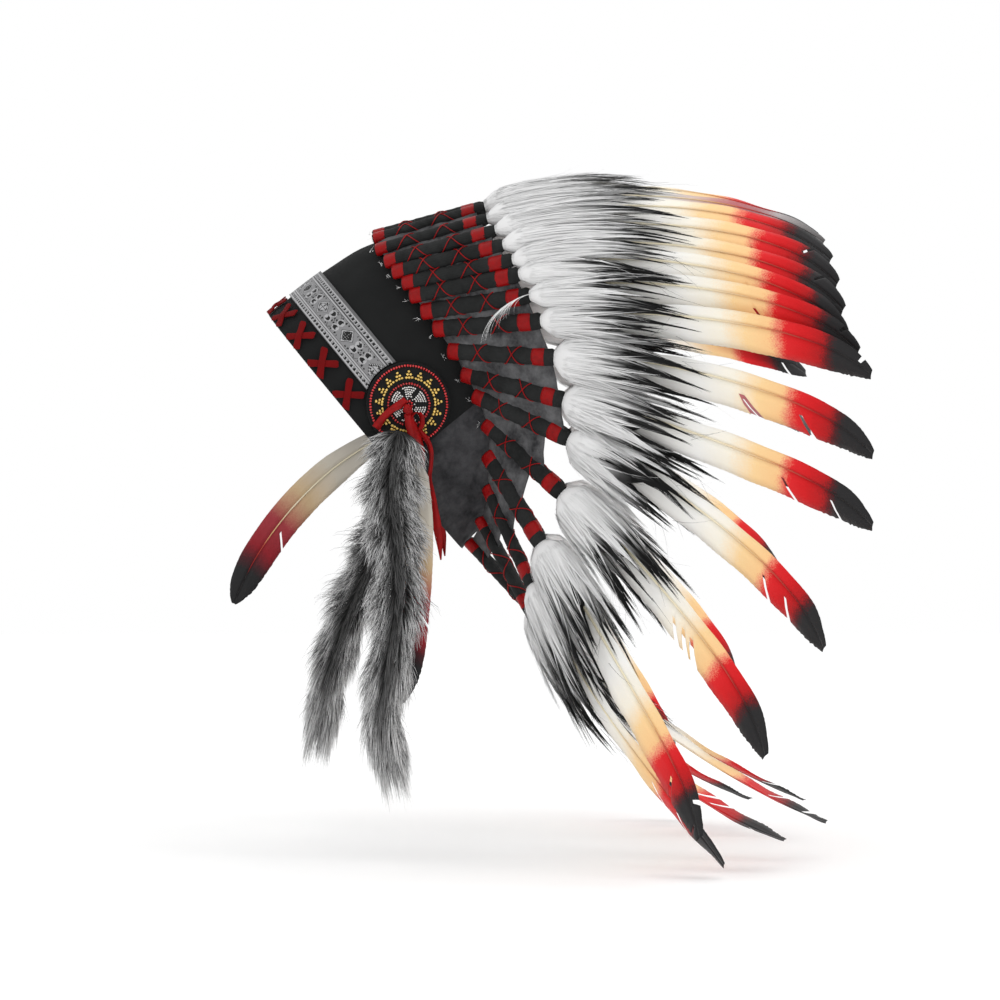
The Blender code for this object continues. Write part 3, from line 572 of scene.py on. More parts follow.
neckFlap = crownShell("neckFlap", flapForm["turns"], flapForm["rings"], False, charcoalCloth)
thicken(neckFlap, flapForm["wall"])
hang(neckFlap, "charcoal_cloth", "neck_flap")


# Rosette frame and the ends of the band.

rosetteForm = {
    "along": 0.1262, "height": 0.0395, "gap": 0.0003, "radius": 0.0320, "felt": 0.0024, "field": 0.0030,
    "bead": 0.00104, "outerRing": 0.0291, "outerCount": 86, "innerRing": 0.0156, "innerCount": 46,
    "pyramids": 17, "pyramidFoot": 0.0202, "flowerRadius": 0.0025, "smallBead": 0.00078, "face": 0.0042,
}
bothSides = ((1, "left"), (-1, "right"))


def rosetteFrame(side):
    angle = side * angleOfAlong(rosetteForm["along"], rosetteForm["height"])
    out = crownNormal(angle, rosetteForm["height"])
    up = (Vector((0, 0, 1)) - out * out.z).normalized()
    aft = up.cross(out)
    centre = onCrown(angle, rosetteForm["height"], rosetteForm["gap"])
    return Matrix.Translation(centre) @ Matrix((aft, up, out)).transposed().to_4x4()


def onRosette(side, aft, down, out):
    return rosetteFrame(side) @ Vector((side * aft, -down, rosetteForm["face"] + out))


# Brow band.

bandForm = {"bottom": 0.0223, "width": 0.0304, "off": 0.0007, "thickness": 0.0013, "columns": 380,
            "rows": 54, "toRosette": 0.0010}
brocadeGreys = {"thread": 0.26, "field": 0.235, "pale": 0.42, "line": 0.060, "stripe": 0.12, "ink": 0.005}
brocadeDots = ((8.4, 5.9, 0.85), (15.7, 1.5, 0.85), (13.4, 6.2, 0.7), (5.6, 6.3, 0.6), (17.0, 0.0, 0.55))


def bandEnd(height):
    centre, room = rosetteFrame(1).translation, rosetteForm["radius"] + bandForm["toRosette"]
    return lastAngle(angleOfAlong(rosetteForm["along"], rosetteForm["height"]),
                     lambda angle: (crown(angle, height) - centre).length > room)


def brocadeFigure(along, across):
    # millimetres from the brow's middle, and from the band's edge
    grey, width = brocadeGreys, bandForm["width"] * 1000
    edge = min(across, width - across)
    if edge < 0.7:
        return grey["stripe"]
    if edge < 5.2:
        if abs(edge - 3.1) < 1.25 and (along + 200) % 3.7 < 1.75:
            return grey["ink"]
        return grey["thread"] if (along + 200) % 3.7 > 2.5 and abs(edge - 3.1) < 1.6 else grey["pale"]
    if edge < 5.9:
        return grey["line"]
    if edge < 7.1:
        return grey["pale"]
    if edge < 7.9:
        return grey["stripe"]
    step = (along + 17.0 + 340.0) % 68.0
    darkOne, x, y = step > 34.0, abs(step % 34.0 - 17.0), abs(across - width / 2)
    d = x + y
    if d < 7.0:
        if d > 6.3:
            return grey["line"]
        if d > 5.2:
            return grey["pale"]
        if darkOne:
            return grey["thread"] if (x % 1.6 < 0.45 and y % 1.6 < 0.45) else grey["ink"]
        return grey["ink"] if d > 4.3 else grey["line"] if x < 0.4 or y < 0.4 else grey["pale"]
    a, b = x - 11.6, y - 2.75
    if (a / 2.5) ** 2 + (b / 2.0) ** 2 < 1 and (a + 1.9) ** 2 + (b + 0.2) ** 2 > 1.3:
        return grey["ink"]
    if (a / 3.4) ** 2 + (b / 2.9) ** 2 < 1:
        return grey["pale"]
    if any((x - dotX) ** 2 + (y - dotY) ** 2 < size * size for dotX, dotY, size in brocadeDots):
        return grey["ink"]
    if x > 14.2 and abs(x - 14.2 - (y - 4.6) * 0.9) < 0.4:
        return grey["line"]
    return grey["field"]


def browBand():
    rows, columns = bandForm["rows"], bandForm["columns"]
    heights = [bandForm["bottom"] + bandForm["width"] * k / rows for k in range(rows + 1)]
    grid = np.zeros((rows + 1, columns + 1, 3))
    for r, height in enumerate(heights):
        end = bandEnd(height)
        for c in range(columns + 1):
            grid[r, c] = onCrown(end * (2 * c / columns - 1), height, bandForm["off"] + bandForm["thickness"])
    steps = np.linalg.norm(np.diff(grid, axis=1), axis=2)
    run = np.concatenate([np.zeros((rows + 1, 1)), np.cumsum(steps, axis=1)], axis=1)
    run = (run - run[:, columns // 2:columns // 2 + 1]) * 1000
    rise = np.repeat(np.linspace(0, 32.0, rows + 1)[:, None], columns + 1, axis=1)
    band = showMesh("browBand", grid.reshape(-1, 3), gridFaces(rows, columns), brocade)
    layer = band.data.attributes.new("figure", "FLOAT_COLOR", "CORNER")
    tones = np.repeat([brocadeFigure((run[r, c] + run[r + 1, c + 1]) / 2, (rise[r, c] + rise[r + 1, c]) / 2)
                       for r in range(rows) for c in range(columns)], 4)
    colours = np.column_stack([tones, tones, tones * 1.02, np.ones(len(tones))])
    layer.data.foreach_set("color", colours.ravel())
    paintUv(band, "weave", np.column_stack([run.ravel(), rise.ravel()]) / 100)
    thicken(band, bandForm["thickness"])
    return band


hang(browBand(), "grey_brocade", "brow_band")
print("brow band made")


# Crosses of red straps under the band.

crossForm = {"height": 0.0090, "spacing": 0.030, "first": 0.015, "count": 5, "upper": 0.0125, "lower": 0.0112,
             "half": 0.0027, "off": 0.0008, "thickness": 0.0010, "rows": 16, "columns": 5}


def angleAtDistance(distance, height):
    angle, gone = 0.0, 0.0
    while gone < distance:
        gone += (crown(angle + 0.002, height) - crown(angle, height)).length
        angle += 0.002
    return angle


def strap(middle, side, lean, lift, seed):
    # one stroke of a cross, from its upper arm's end to its lower arm's
    rng = np.random.default_rng(seed)
    middleHeight = crossForm["height"]
    perLength = 0.001 / (crown(middle + 0.001, middleHeight) - crown(middle, middleHeight)).length
    rows, columns = crossForm["rows"], crossForm["columns"]
    wayX, wayY = math.cos(lean), math.sin(lean)
    frayTop, frayEnd = rng.uniform(-0.0012, 0.0012, 2)
    points = []
    for r in range(rows + 1):
        share = r / rows
        for c in range(columns + 1):
            across = 2 * c / columns - 1
            along = -crossForm["lower"] + (crossForm["lower"] + crossForm["upper"]) * share
            along += across * (frayTop if share > 0.5 else frayEnd) * abs(2 * share - 1) ** 3
            half = crossForm["half"] * (0.84 + 0.22 * abs(2 * share - 1) ** 1.5)
            half *= 1 if share < 0.9 else math.sqrt(max(1 - ((share - 0.9) / 0.13) ** 2, 0.12))
            x, y = wayX * along - wayY * across * half, wayY * along + wayX * across * half
            hump = lift * math.exp(-(along / 0.0036) ** 2) + 0.0003 * (1 - across ** 2)
            height = max(middleHeight + y, 0.0006)
            points.append(onCrown(side * (middle + x * perLength), height,
                                  crossForm["off"] + crossForm["thickness"] + hump))
    made = showMesh("strap", points, [quad[::side] for quad in gridFaces(rows, columns)], redFelt)
    return soften(thicken(made, crossForm["thickness"]), 0.0003)


for side, word in bothSides:
    for k in range(crossForm["count"]):
        middle = angleAtDistance(crossForm["first"] + crossForm["spacing"] * k, crossForm["height"])
        pair = [strap(middle, side, math.radians(48), 0.0, 10 * k + 2 + side),
                strap(middle, side, math.radians(132), 0.0011, 10 * k + 6 + side)]
        hang(joined(f"cross_{word}_{k + 1}_straps", pair), "red_felt", f"cross_{word}_{k + 1}")
print("crosses made")


# Rosette: a felt disc with rings, pyramids and petals of seed beads.

beadColours = {"red": (0.60, 0.008, 0.012), "deepRed": (0.46, 0.006, 0.010), "gold": (0.88, 0.60, 0.14),
               "white": (0.86, 0.85, 0.83)}


def rosetteDisc():
    # primitive, then inset and raised in edit mode
    bpy.ops.mesh.primitive_circle_add(vertices=72, radius=rosetteForm["radius"], fill_type="NGON")
    disc = bpy.context.object
    disc.name = "rosetteDisc"
    disc.data.materials.append(blackFelt)
    bpy.ops.object.mode_set(mode="EDIT")
    bpy.ops.mesh.select_all(action="SELECT")
    bpy.ops.mesh.extrude_region_move(TRANSFORM_OT_translate={"value": (0, 0, rosetteForm["felt"])})
    bpy.ops.mesh.inset(thickness=0.0016, depth=0.0)
    bpy.ops.mesh.inset(thickness=0.0010, depth=rosetteForm["field"] - rosetteForm["felt"])
    for _ in range(6):
        bpy.ops.mesh.inset(thickness=0.0044, depth=0.00008)
    bpy.ops.mesh.select_all(action="SELECT")
    bpy.ops.mesh.normals_make_consistent(inside=False)
    bpy.ops.object.mode_set(mode="OBJECT")
    return soften(disc, 0.0006)


def beadSpots():
    # place, turn, size and colour of each bead on the disc
    spots = []
    bead, small = rosetteForm["bead"], rosetteForm["smallBead"]

    def seed(radius, swing, turn, size, colour):
        spots.append((radius * math.cos(swing), radius * math.sin(swing), turn, size, colour))

    def ring(radius, count, colour, size, turn=0.0):
        for k in range(count):
            swing = 2 * math.pi * (k + turn) / count
            seed(radius, swing, swing + math.pi / 2, size, colour)

    ring(rosetteForm["outerRing"], rosetteForm["outerCount"], "red", bead)
    ring(rosetteForm["innerRing"], rosetteForm["innerCount"], "deepRed", bead, 0.4)
    for k in range(rosetteForm["pyramids"]):
        swing = 2 * math.pi * (k + 0.25) / rosetteForm["pyramids"]
        for row, count in enumerate((3, 2, 1)):
            radius = rosetteForm["pyramidFoot"] + row * bead * 2.25
            for j in range(count):
                seed(radius, swing + (j - (count - 1) / 2) * bead * 2.12 / radius, swing, bead * 1.08, "gold")
    for radius, count in ((0.0060, 22), (0.0077, 29), (0.0094, 36), (0.0111, 43), (0.0128, 50)):
        for k in range(count):
            swing = 2 * math.pi * (k + 0.5) / count
            gap = abs((swing * 6 / (2 * math.pi)) % 1 - 0.5) * 2 * math.pi / 6 * radius
            if gap < radius * math.pi / 6 - 0.0011 - 0.10 * (radius - 0.006):
                seed(radius, swing, swing, small, "white")
    seed(0, 0, 0, bead, "deepRed")
    ring(rosetteForm["flowerRadius"], 7, "red", bead, 0.5)
    ring(0.0044, 7, "white", small * 0.8, 0.0)
    return spots


def beadCluster():
    shape, faces = ball(9, 6)
    shape = shape * [0.86, 1.0, 0.92]
    rng = np.random.default_rng(7)
    points, allFaces, tones = [], [], []
    for x, y, swing, radius, colour in beadSpots():
        c, s = math.cos(swing), math.sin(swing)
        size = radius * rng.uniform(0.93, 1.06)
        turned = np.column_stack([shape[:, 0] * c - shape[:, 1] * s, shape[:, 0] * s + shape[:, 1] * c,
                                  shape[:, 2]]) * size
        lift = rosetteForm["field"] + radius * 0.6 + 0.0004 * (1 - math.hypot(x, y) / 0.034)
        drift = rng.normal(0, 0.00009, 2)
        start = len(points) * len(shape)
        points.append(turned + np.array([x + drift[0], y + drift[1], lift]))
        allFaces += [tuple(v + start for v in face) for face in faces]
        tone = np.array(beadColours[colour]) * rng.uniform(0.82, 1.12)
        tones.append(np.repeat(tone[None], len(shape), axis=0))
    cluster = showMesh("rosetteBeads", np.concatenate(points), allFaces, beadGlass)
    paintTone(cluster, "bead", np.clip(np.concatenate(tones), 0, 1))
    return cluster


discMaster, beadMaster = rosetteDisc(), beadCluster()
for side, word in bothSides:
    place = rosetteFrame(side)
    disc, beads = copyOf(discMaster, f"rosette_{word}_felt"), copyOf(beadMaster, f"rosette_{word}_beads")
    for piece in (disc, beads):
        piece.data.transform(place)
        hang(piece, "black_felt" if piece is disc else "seed_beads", f"rosette_{word}")
discard(discMaster, beadMaster)
print("rosettes made")


# The fan: where each sleeve starts and runs, as the part has it.

sleeveForm = {"length": 0.090, "width": 0.0130, "thickness": 0.0090, "seatOff": 0.00045, "flapSeat": 0.0009,
              "gap": 0.0003}
featherForm = {"length": 0.262, "width": 0.0290}
topLast, sideLast = 6, 12
fanColumns = ("turn", "height", "pitch", "flare", "droop", "roll", "web", "lift")
fanRows = (
    (0.0, 0.650, -15.2, 0.0, 20.0, 0, 0.92, 0),
    (18.5, 0.638, -15.2, 6.0, 20.0, 14, 0.92, 0),
    (34.0, 0.610, -14.7, 10.0, 19.0, 18, 0.93, 0),
    (47.0, 0.606, -14.6, 14.0, 20.0, 20, 0.94, 0),
    (56.0, 0.604, -12.1, 17.0, 19.0, 22, 0.95, 0.6),
    (65.5, 0.608, -10.0, 20.0, 19.0, 22, 0.95, 1.0),
    (74.5, 0.597, -9.2, 22.0, 20.0, 22, 0.95, 1.4),
    (86.0, 0.591, -6.7, 24.0, 17.0, 22, 0.96, 2.6),
    (94.5, 0.584, -2.3, 26.0, 12.0, 20, 0.96, 3.8),
    (103.0, 0.571, 5.2, 27.0, 12.0, 18, 0.96, 5),
    (111.5, 0.553, 16.1, 28.0, 6.0, 15, 0.96, 5),
    (119.5, 0.532, 26.2, 28.0, 13.0, 12, 0.75, 6),
    (129.5, 0.488, 43.6, 28.0, 8.0, 10, 0.60, 4),
    (138.0, 0.397, 59.6, 28.0, 1.0, 8, 0.55, 2),
    (148.0, 0.292, 65.7, 24.5, -11.0, 4, 0.35, 0),
    (159.0, 0.169, 61.5, 20.0, -20.0, 2, 0.25, 0),
    (168.0, 0.050, 47.0, 11.0, -12.0, 0, 0.25, 0),
)


def sideDirection(pitch, flare, side):
    down, out = math.radians(pitch), math.radians(flare)
    return Vector((side * math.sin(out), math.cos(out) * math.cos(down), -math.cos(out) * math.sin(down)))


def seated(start, ahead, across, normal, off):
    face = across.cross(ahead)
    for _ in range(12):
        least = 1.0
        for step in range(11):
            middle = start + ahead * sleeveForm["length"] * step / 10
            for k in range(8):
                swing = 2 * math.pi * (k + 0.5) / 8
                point = (middle + across * sleeveForm["width"] / 2 * math.cos(swing)
                         + face * sleeveForm["thickness"] / 2 * math.sin(swing))
                if toCap(point)[2] > 0:
                    least = min(least, crownClearance(point))
        start = start + normal * (off - least)
    return start


def fanPlaces():
    rows = [dict(zip(fanColumns, row)) for row in fanRows]
    last = len(rows) - 1
    raw, places = {}, {}
    for number in range(-last, last + 1):
        row, side = rows[abs(number)], -1 if number < 0 else 1
        angle, height = side * math.radians(row["turn"]), row["height"] * crownForm["height"]
        pitch = row["pitch"] - (row["lift"] if number < 0 else 0)  # the right side's stand a little higher
        raw[number] = (crown(angle, height), sideDirection(pitch, row["flare"], side),
                       sideDirection(pitch + row["droop"], row["flare"], side),
                       crownNormal(angle, height), row)
    for number, (root, ahead, chord, normal, row) in raw.items():
        before, after = raw.get(number - 1) or raw[last], raw.get(number + 1) or raw[-last]
        middle = sleeveForm["length"] + featherForm["length"] / 2
        ring = (after[0] + after[1] * middle) - (before[0] + before[1] * middle)
        across = (ring - ahead * ring.dot(ahead)).normalized()
        off = sleeveForm["seatOff"] - (sleeveForm["flapSeat"] if abs(number) > sideLast else 0)
        start = seated(root + normal * sleeveForm["thickness"] / 2, ahead, across, normal, off)
        places[number] = arcPlace(start + ahead * (sleeveForm["length"] + sleeveForm["gap"]), ahead, chord,
                                  across, featherForm["length"])
        places[number].update(start=start, row=row)
    return places


def arcPlace(foot, ahead, chord, across, length):
    bend = ahead.angle(chord)
    inwards = (chord - ahead * chord.dot(ahead)).normalized() if bend > 1e-4 else ahead.orthogonal()
    return {"foot": foot, "ahead": ahead, "inwards": inwards, "bend": max(bend, 1e-4), "across": across,
            "length": length}


def arcFrames(place, z):
    # middle points, tangents, width and outward directions at distances z from the foot
    z = np.asarray(z, dtype=float)
    ahead, inwards, across = (np.array(place[key]) for key in ("ahead", "inwards", "across"))
    radius = place["length"] / (2 * place["bend"])
    swing = np.clip(z, 0, None) / radius
    sine, cosine = np.sin(swing)[:, None], np.cos(swing)[:, None]
    point = np.array(place["foot"]) + ahead * radius * sine + inwards * radius * (1 - cosine)
    point = point + ahead * np.clip(z, None, 0)[:, None]
    tangent = ahead * cosine + inwards * sine
    wide = unit(across - tangent * (tangent @ across)[:, None])
    return point, tangent, wide, np.cross(wide, tangent)


def layOnArc(place, local, roll=0.0):
    # local is across, outwards and along
    point, _, wide, out = arcFrames(place, local[:, 2])
    c, s = math.cos(roll), math.sin(roll)
    turnedWide, turnedOut = wide * c - out * s, out * c + wide * s
    return point + turnedWide * local[:, 0:1] + turnedOut * local[:, 1:2]


fan = fanPlaces()
fanLast = len(fanRows) - 1


def placeWord(number):
    return "top" if number == 0 else f"{'left' if number > 0 else 'right'}_{abs(number):02d}"


# Sleeves, satin bands, threads and web of each arc.

wrapForm = {"sides": 18, "rows": 30, "wobble": 0.22 / 6, "bands": ((0.0008, 0.0100), (0.0715, 0.0820)),
            "bandRise": 0.00035, "threadRadius": 0.00042, "threadRise": 0.00030, "threadFrom": 0.0125,
            "threadTo": 0.0700, "turns": 2}


def sleeveMaster():
    # a cylinder at its size, cut along its length in edit mode, with its outer end chamfered
    bpy.ops.mesh.primitive_cylinder_add(vertices=wrapForm["sides"], radius=1, depth=1, end_fill_type="NGON")
    master = bpy.context.object
    master.data.materials.append(sleeveCloth)
    bpy.ops.object.mode_set(mode="EDIT")
    work = bmesh.from_edit_mesh(master.data)
    for face in work.faces:
        face.select_set(False)
    sideEdges = [edge for edge in work.edges if abs(edge.verts[0].co.z - edge.verts[1].co.z) > 0.5]
    bmesh.ops.subdivide_edges(work, edges=sideEdges, cuts=wrapForm["rows"] - 1, use_grid_fill=True)
    bmesh.update_edit_mesh(master.data)
    bpy.ops.object.mode_set(mode="OBJECT")
    places = pointsOf(master)
    share = places[:, 2] + 0.5
    turn = np.arctan2(places[:, 1], places[:, 0])
    end = np.where(share > 0.9999, 0.80, 1.0) * np.where(share < 0.0001, 0.86, 1.0)
    wobble = 1 + wrapForm["wobble"] * np.sin(3 * turn + 70 * share) + 0.012 * np.sin(turn * 2 + 23 * share)
    local = np.column_stack([np.cos(turn) * sleeveForm["width"] / 2 * end * wobble,
                             np.sin(turn) * sleeveForm["thickness"] / 2 * end * wobble,
                             share * sleeveForm["length"]])
    radial = np.hypot(places[:, 0], places[:, 1]) > 0.5
    local[~radial, :2] = 0
    return movePoints(master, local)


def bandRing(low, high):
    # a wound satin band: ridged outside, closed on itself inside the sleeve
    sides = 22
    profile = [(-0.0010, low)]
    for k in range(7):
        rise = wrapForm["bandRise"] * (1.0 if k in (1, 3, 5) else 0.72) * (0.35 if k in (0, 6) else 1)
        profile.append((rise, low + (high - low) * k / 6))
    profile.append((-0.0010, high))
    points = []
    for rise, z in profile:
        for k in range(sides):
            swing = 2 * math.pi * k / sides
            points.append((math.cos(swing) * (sleeveForm["width"] / 2 + rise),
                           math.sin(swing) * (sleeveForm["thickness"] / 2 + rise), z))
    faces = [tuple(v % len(points) for v in face) for face in gridFaces(len(profile), sides, True)]
    made = showMesh("bandRing", points, faces, redSatin)
    turns = np.array([math.atan2(p[1], p[0]) for p in points])
    paintUv(made, "wrap", np.column_stack([np.array(points)[:, 2] * 120, turns / 6.28]))
    return made


def threadPair():
    pieces = []
    steps = 72
    share = np.linspace(0, 1, steps)
    rising = wrapForm["threadFrom"] + (wrapForm["threadTo"] - wrapForm["threadFrom"]) * share
    for hand in (1, -1):
        swing = -math.pi / 2 + 2 * math.pi * wrapForm["turns"] * share
        swing = swing if hand > 0 else math.pi - swing
        rise = wrapForm["threadRise"] + (0.00025 if hand > 0 else 0)
        path = np.column_stack([np.cos(swing) * (sleeveForm["width"] / 2 + rise),
                                np.sin(swing) * (sleeveForm["thickness"] / 2 + rise), rising])
        points, faces = tube(path, np.full(steps, wrapForm["threadRadius"]), 5)
        made = showMesh("thread", points, faces, redThread)
        paintUv(made, "wrap", np.column_stack([np.repeat(share * 40, 5), np.tile(np.arange(5) / 5, steps)]))
        pieces.append(made)
    return joined("threadPair", pieces)


def layCopy(master, number):
    made = copyOf(master, master.name + placeWord(number))
    local = pointsOf(made) - [0, 0, sleeveForm["length"] + sleeveForm["gap"]]
    movePoints(made, layOnArc(fan[number], local))
    made.data.flip_normals()
    return made


webForm = {"start": 0.003, "most": 0.96, "wall": 0.0006, "columns": 14, "rows": 30, "crumple": 0.0013,
           "hem": 0.0007, "short": 0.0052}


def webPanel(number, following, short=0.0):
    # the backing between two sleeves, crumpled between its seams
    first, second = fan[number], fan[following]
    rows, columns = webForm["rows"], webForm["columns"]
    share = min(fan[min(number, following, key=abs)]["row"]["web"], webForm["most"])
    points = []
    for r in range(rows + 1):
        at = webForm["start"] + (sleeveForm["length"] * share - webForm["start"]) * r / rows
        a, b = first["start"] + first["ahead"] * at, second["start"] + second["ahead"] * at
        up = (b - a).cross(first["ahead"] + second["ahead"]).normalized()
        span = (b - a).length
        for c in range(columns + 1):
            t = c / columns * (1 - short / span)
            point = a.lerp(b, t)
            slack = math.sin(math.pi * t) * min(span / 0.012, 1)
            fold = lumps(point, 260, number) * 0.5 + lumps(point, 95, 3.0 + number)
            hem = webForm["hem"] * stepped(0.80, 0.83, r / rows + 0.06 * (t - 0.5))
            points.append(point + up * (webForm["crumple"] * fold + hem) * slack)
    return showMesh("web", points, gridFaces(rows, columns), webCloth)


sleevePiece, threadPiece = sleeveMaster(), threadPair()
ringPiece = joined("bandRings", [bandRing(*ends) for ends in wrapForm["bands"]])
napeNumbers = [*range(sideLast + 1, fanLast + 1), *range(-fanLast, -sideLast)]
arcs = (
    ("Top", "fan_top", list(range(-topLast, topLast + 1)), None, None, (0.30, 0.085)),
    ("Left", "fan_left", list(range(topLast + 1, sideLast + 1)), topLast, sideLast + 1, (0.15, 0.085)),
    ("Right", "fan_right", list(range(-sideLast, -topLast)), -sideLast - 1, -topLast, (0.15, 0.085)),
    ("Nape", "fan_nape", napeNumbers, None, None, (0.16, 0.060)),
)
for word, node, numbers, leadIn, leadOut, flat in arcs:
    for kind, master, slotName in (("sleeves", sleevePiece, "wrapped_sleeve"),
                                   ("satinBands", ringPiece, "red_satin"),
                                   ("threads", threadPiece, "red_satin")):
        hang(joined(kind + word, [layCopy(master, n) for n in numbers]), slotName, node)
    panels = [webPanel(a, b) for a, b in zip(numbers, numbers[1:])]
    for own, other in ((numbers[0], leadIn), (numbers[-1], leadOut)):
        if other is not None:
            panels.append(webPanel(own, other, webForm["short"]))
    web = joined("web" + word, panels)
    thicken(web, webForm["wall"], 0.0)
    hang(web, "charcoal_cloth", node)
discard(sleevePiece, threadPiece, ringPiece)
print("fan sleeves and web made")


# Long feathers: barbs on both sides of a shaft that lies nearer to the narrow side.

vaneForm = {
    "rows": 108, "columns": 3, "start": 0.17, "wall": 0.00020, "run": {"narrow": 0.050, "wide": 0.085},
    "teeth": {"narrow": 0.035, "wide": 0.090}, "slitFade": 0.014, "camber": 0.0022,
    "narrow": ((0.0, 0.20), (0.20, 0.52), (0.34, 0.86), (0.50, 0.98), (0.70, 1.0), (0.81, 0.96), (0.88, 0.85),
               (0.93, 0.62), (0.97, 0.24), (1.0, -0.24)),
    "wide": ((0.0, 0.25), (0.20, 0.62), (0.34, 0.92), (0.50, 1.0), (0.78, 1.0), (0.90, 0.99), (0.96, 0.92),
             (1.0, 0.68)),
    "shaftAside": ((0.0, 0.0), (0.25, -0.36), (0.72, -0.42), (0.86, -0.26), (0.94, 0.04), (1.0, 0.48)),
    "shaft": ((0.0, 0.0013), (0.3, 0.0010), (0.7, 0.00055), (0.97, 0.0002)),
}


def eased(table, at):
    # a table's value, with its corners rounded
    grid = np.linspace(0, 1, 401)
    shares, values = np.array(table).T
    rough = np.pad(np.interp(grid, shares, values), 16, mode="edge")
    smooth = np.convolve(rough, np.ones(33) / 33, mode="valid")
    blend = np.clip((1 - grid) / 0.04, 0, 1)
    return np.interp(at, grid, smooth * blend + np.interp(grid, shares, values) * (1 - blend))


def vaneShape(seed, length, width, handed, slits, form):
    rng = np.random.default_rng(seed)
    half, rows, columns = width / 2, form["rows"], form["columns"]
    roots = np.linspace(form["start"], 0.996, rows)
    middle = (eased(form["shaftAside"], roots) * half)[:, None]
    t = np.linspace(0, 1, columns + 1)[None, :]
    points, place, barbs, faces = [], [], [], []
    for hand, key in ((-1, "narrow"), (1, "wide")):
        cuts = [(at, size) for at, size, where in slits if where == key]
        ends = roots + form["run"][key] * (1 - roots ** 6)
        for at, size in cuts:
            gone = roots - at
            pull = np.where(gone < 0, -np.exp(np.minimum(gone, 0) / form["slitFade"]),
                            0.35 * np.exp(-np.maximum(gone, 0) / form["slitFade"]))
            ends = ends + pull * size / length
        ends = np.minimum(ends, 1.0)
        period = rng.integers(3, 7, rows).cumsum() % 11 / 11
        ragged = form["teeth"][key] * (0.5 * rng.uniform(0, 1, rows) + 0.5 * period) * (
            0.4 + 1.2 * stepped(0.72, 0.95, roots))
        edge = (hand * eased(form[key], ends) * half)[:, None]
        edge = edge - (edge - middle) * ragged[:, None]
        x = middle + (edge - middle) * t ** 0.94
        z = (roots[:, None] + (ends - roots)[:, None] * t ** 1.2) * length
        lift = -form["camber"] * (x / half) ** 2 + 0.0006 * t * np.sin(roots[:, None] * 31 + seed + hand)
        base = sum(len(part) for part in points)
        points.append(np.stack([handed * x, lift, z], axis=-1).reshape(-1, 3))
        place.append(np.stack([z / length, 0.5 + x / width], axis=-1).reshape(-1, 2))
        barbs.append(np.stack([np.repeat(roots[:, None], columns + 1, axis=1), 0.5 + x / width],
                              axis=-1).reshape(-1, 2))
        for r in range(rows - 1):
            cut = any(roots[r] < at <= roots[r + 1] for at, _ in cuts)
            for c in range(1 if cut else columns):
                a = base + r * (columns + 1) + c
                faces.append((a, a + columns + 1, a + columns + 2, a + 1)[::hand * handed])
    return np.concatenate(points), faces, np.concatenate(place), np.concatenate(barbs)


def shaftShape(length, width, handed, form):
    shares, radii = np.array(form["shaft"]).T
    at = np.linspace(0.0, shares[-1], 30)
    aside = eased(form["shaftAside"], at) * width / 2
    path = np.column_stack([handed * aside, 0.0002 - form["camber"] * (2 * aside / width) ** 2, at * length])
    points, faces = tube(path, np.interp(at, shares, radii), 6)
    spots = np.column_stack([np.repeat(at, 6), np.full(len(points), 0.5)])
    return points, faces, spots, spots


def featherPart(name, place, roll, shift, shape, material):
    points, faces, spots, barbs = shape
    made = showMesh(name, layOnArc(place, points, roll), faces, material)
    paintUv(made, "place", spots + [shift, 0])
    paintUv(made, "barb", barbs + [shift, 0])
    return made


def longFeather(name, place, width, roll, handed, seed, vaneMaterial, slits, shift, form=vaneForm):
    vane = vaneShape(seed, place["length"], width, handed, slits, form)
    blade = thicken(featherPart(name, place, roll, shift, vane, vaneMaterial), form["wall"], 0.0)
    quill = shaftShape(place["length"], width, handed, form)
    shaft = featherPart(name + "Shaft", place, roll, shift, quill, dyedShaft)
    shaft.data.flip_normals()
    return joined(name, [blade, shaft])


tornFeathers = {
    1: ((0.83, 0.0022, "wide"),), 3: ((0.90, 0.0030, "wide"),), 8: ((0.955, 0.0016, "narrow"),),
    9: ((0.56, 0.0105, "wide"), (0.745, 0.0034, "wide")),
    12: ((0.49, 0.0040, "wide"), (0.535, 0.0060, "wide"), (0.575, 0.0080, "wide")),
    13: ((0.79, 0.0026, "wide"), (0.90, 0.0022, "narrow"), (0.95, 0.0015, "wide")),
    -5: ((0.60, 0.0060, "wide"),), -10: ((0.68, 0.0050, "wide"),),
}
# feathers 2 and -9 take the greyer, duller ramp
greyFeathers = (2, -9)


def slitsOf(number):
    if number in tornFeathers:
        return tornFeathers[number]
    rng = np.random.default_rng(900 + number)
    slits = [(rng.uniform(0.64, 0.93), rng.uniform(0.0007, 0.0024), "wide")
             for _ in range(rng.integers(0, 3))]
    if rng.uniform() < 0.35:
        slits.append((rng.uniform(0.84, 0.94), 0.0012, "narrow"))
    return slits


for number in range(-fanLast, fanLast + 1):
    word, side = placeWord(number), 1 if number > 0 else -1
    width = featherForm["width"] * (1 + 0.05 * math.sin(5.1 * number))
    vane = greyVane if number in greyFeathers else dyedVane
    feather = longFeather("vane_" + word, fan[number], width, side * math.radians(fan[number]["row"]["roll"]),
                          side, 100 + number, vane, slitsOf(number), 0.012 * math.sin(2.7 * number))
    hang(feather, "dyed_feather", f"feather_{word}")
print("long feathers made")


# Plumes: pointed locks of silky fluff round each feather's foot, white and then black.

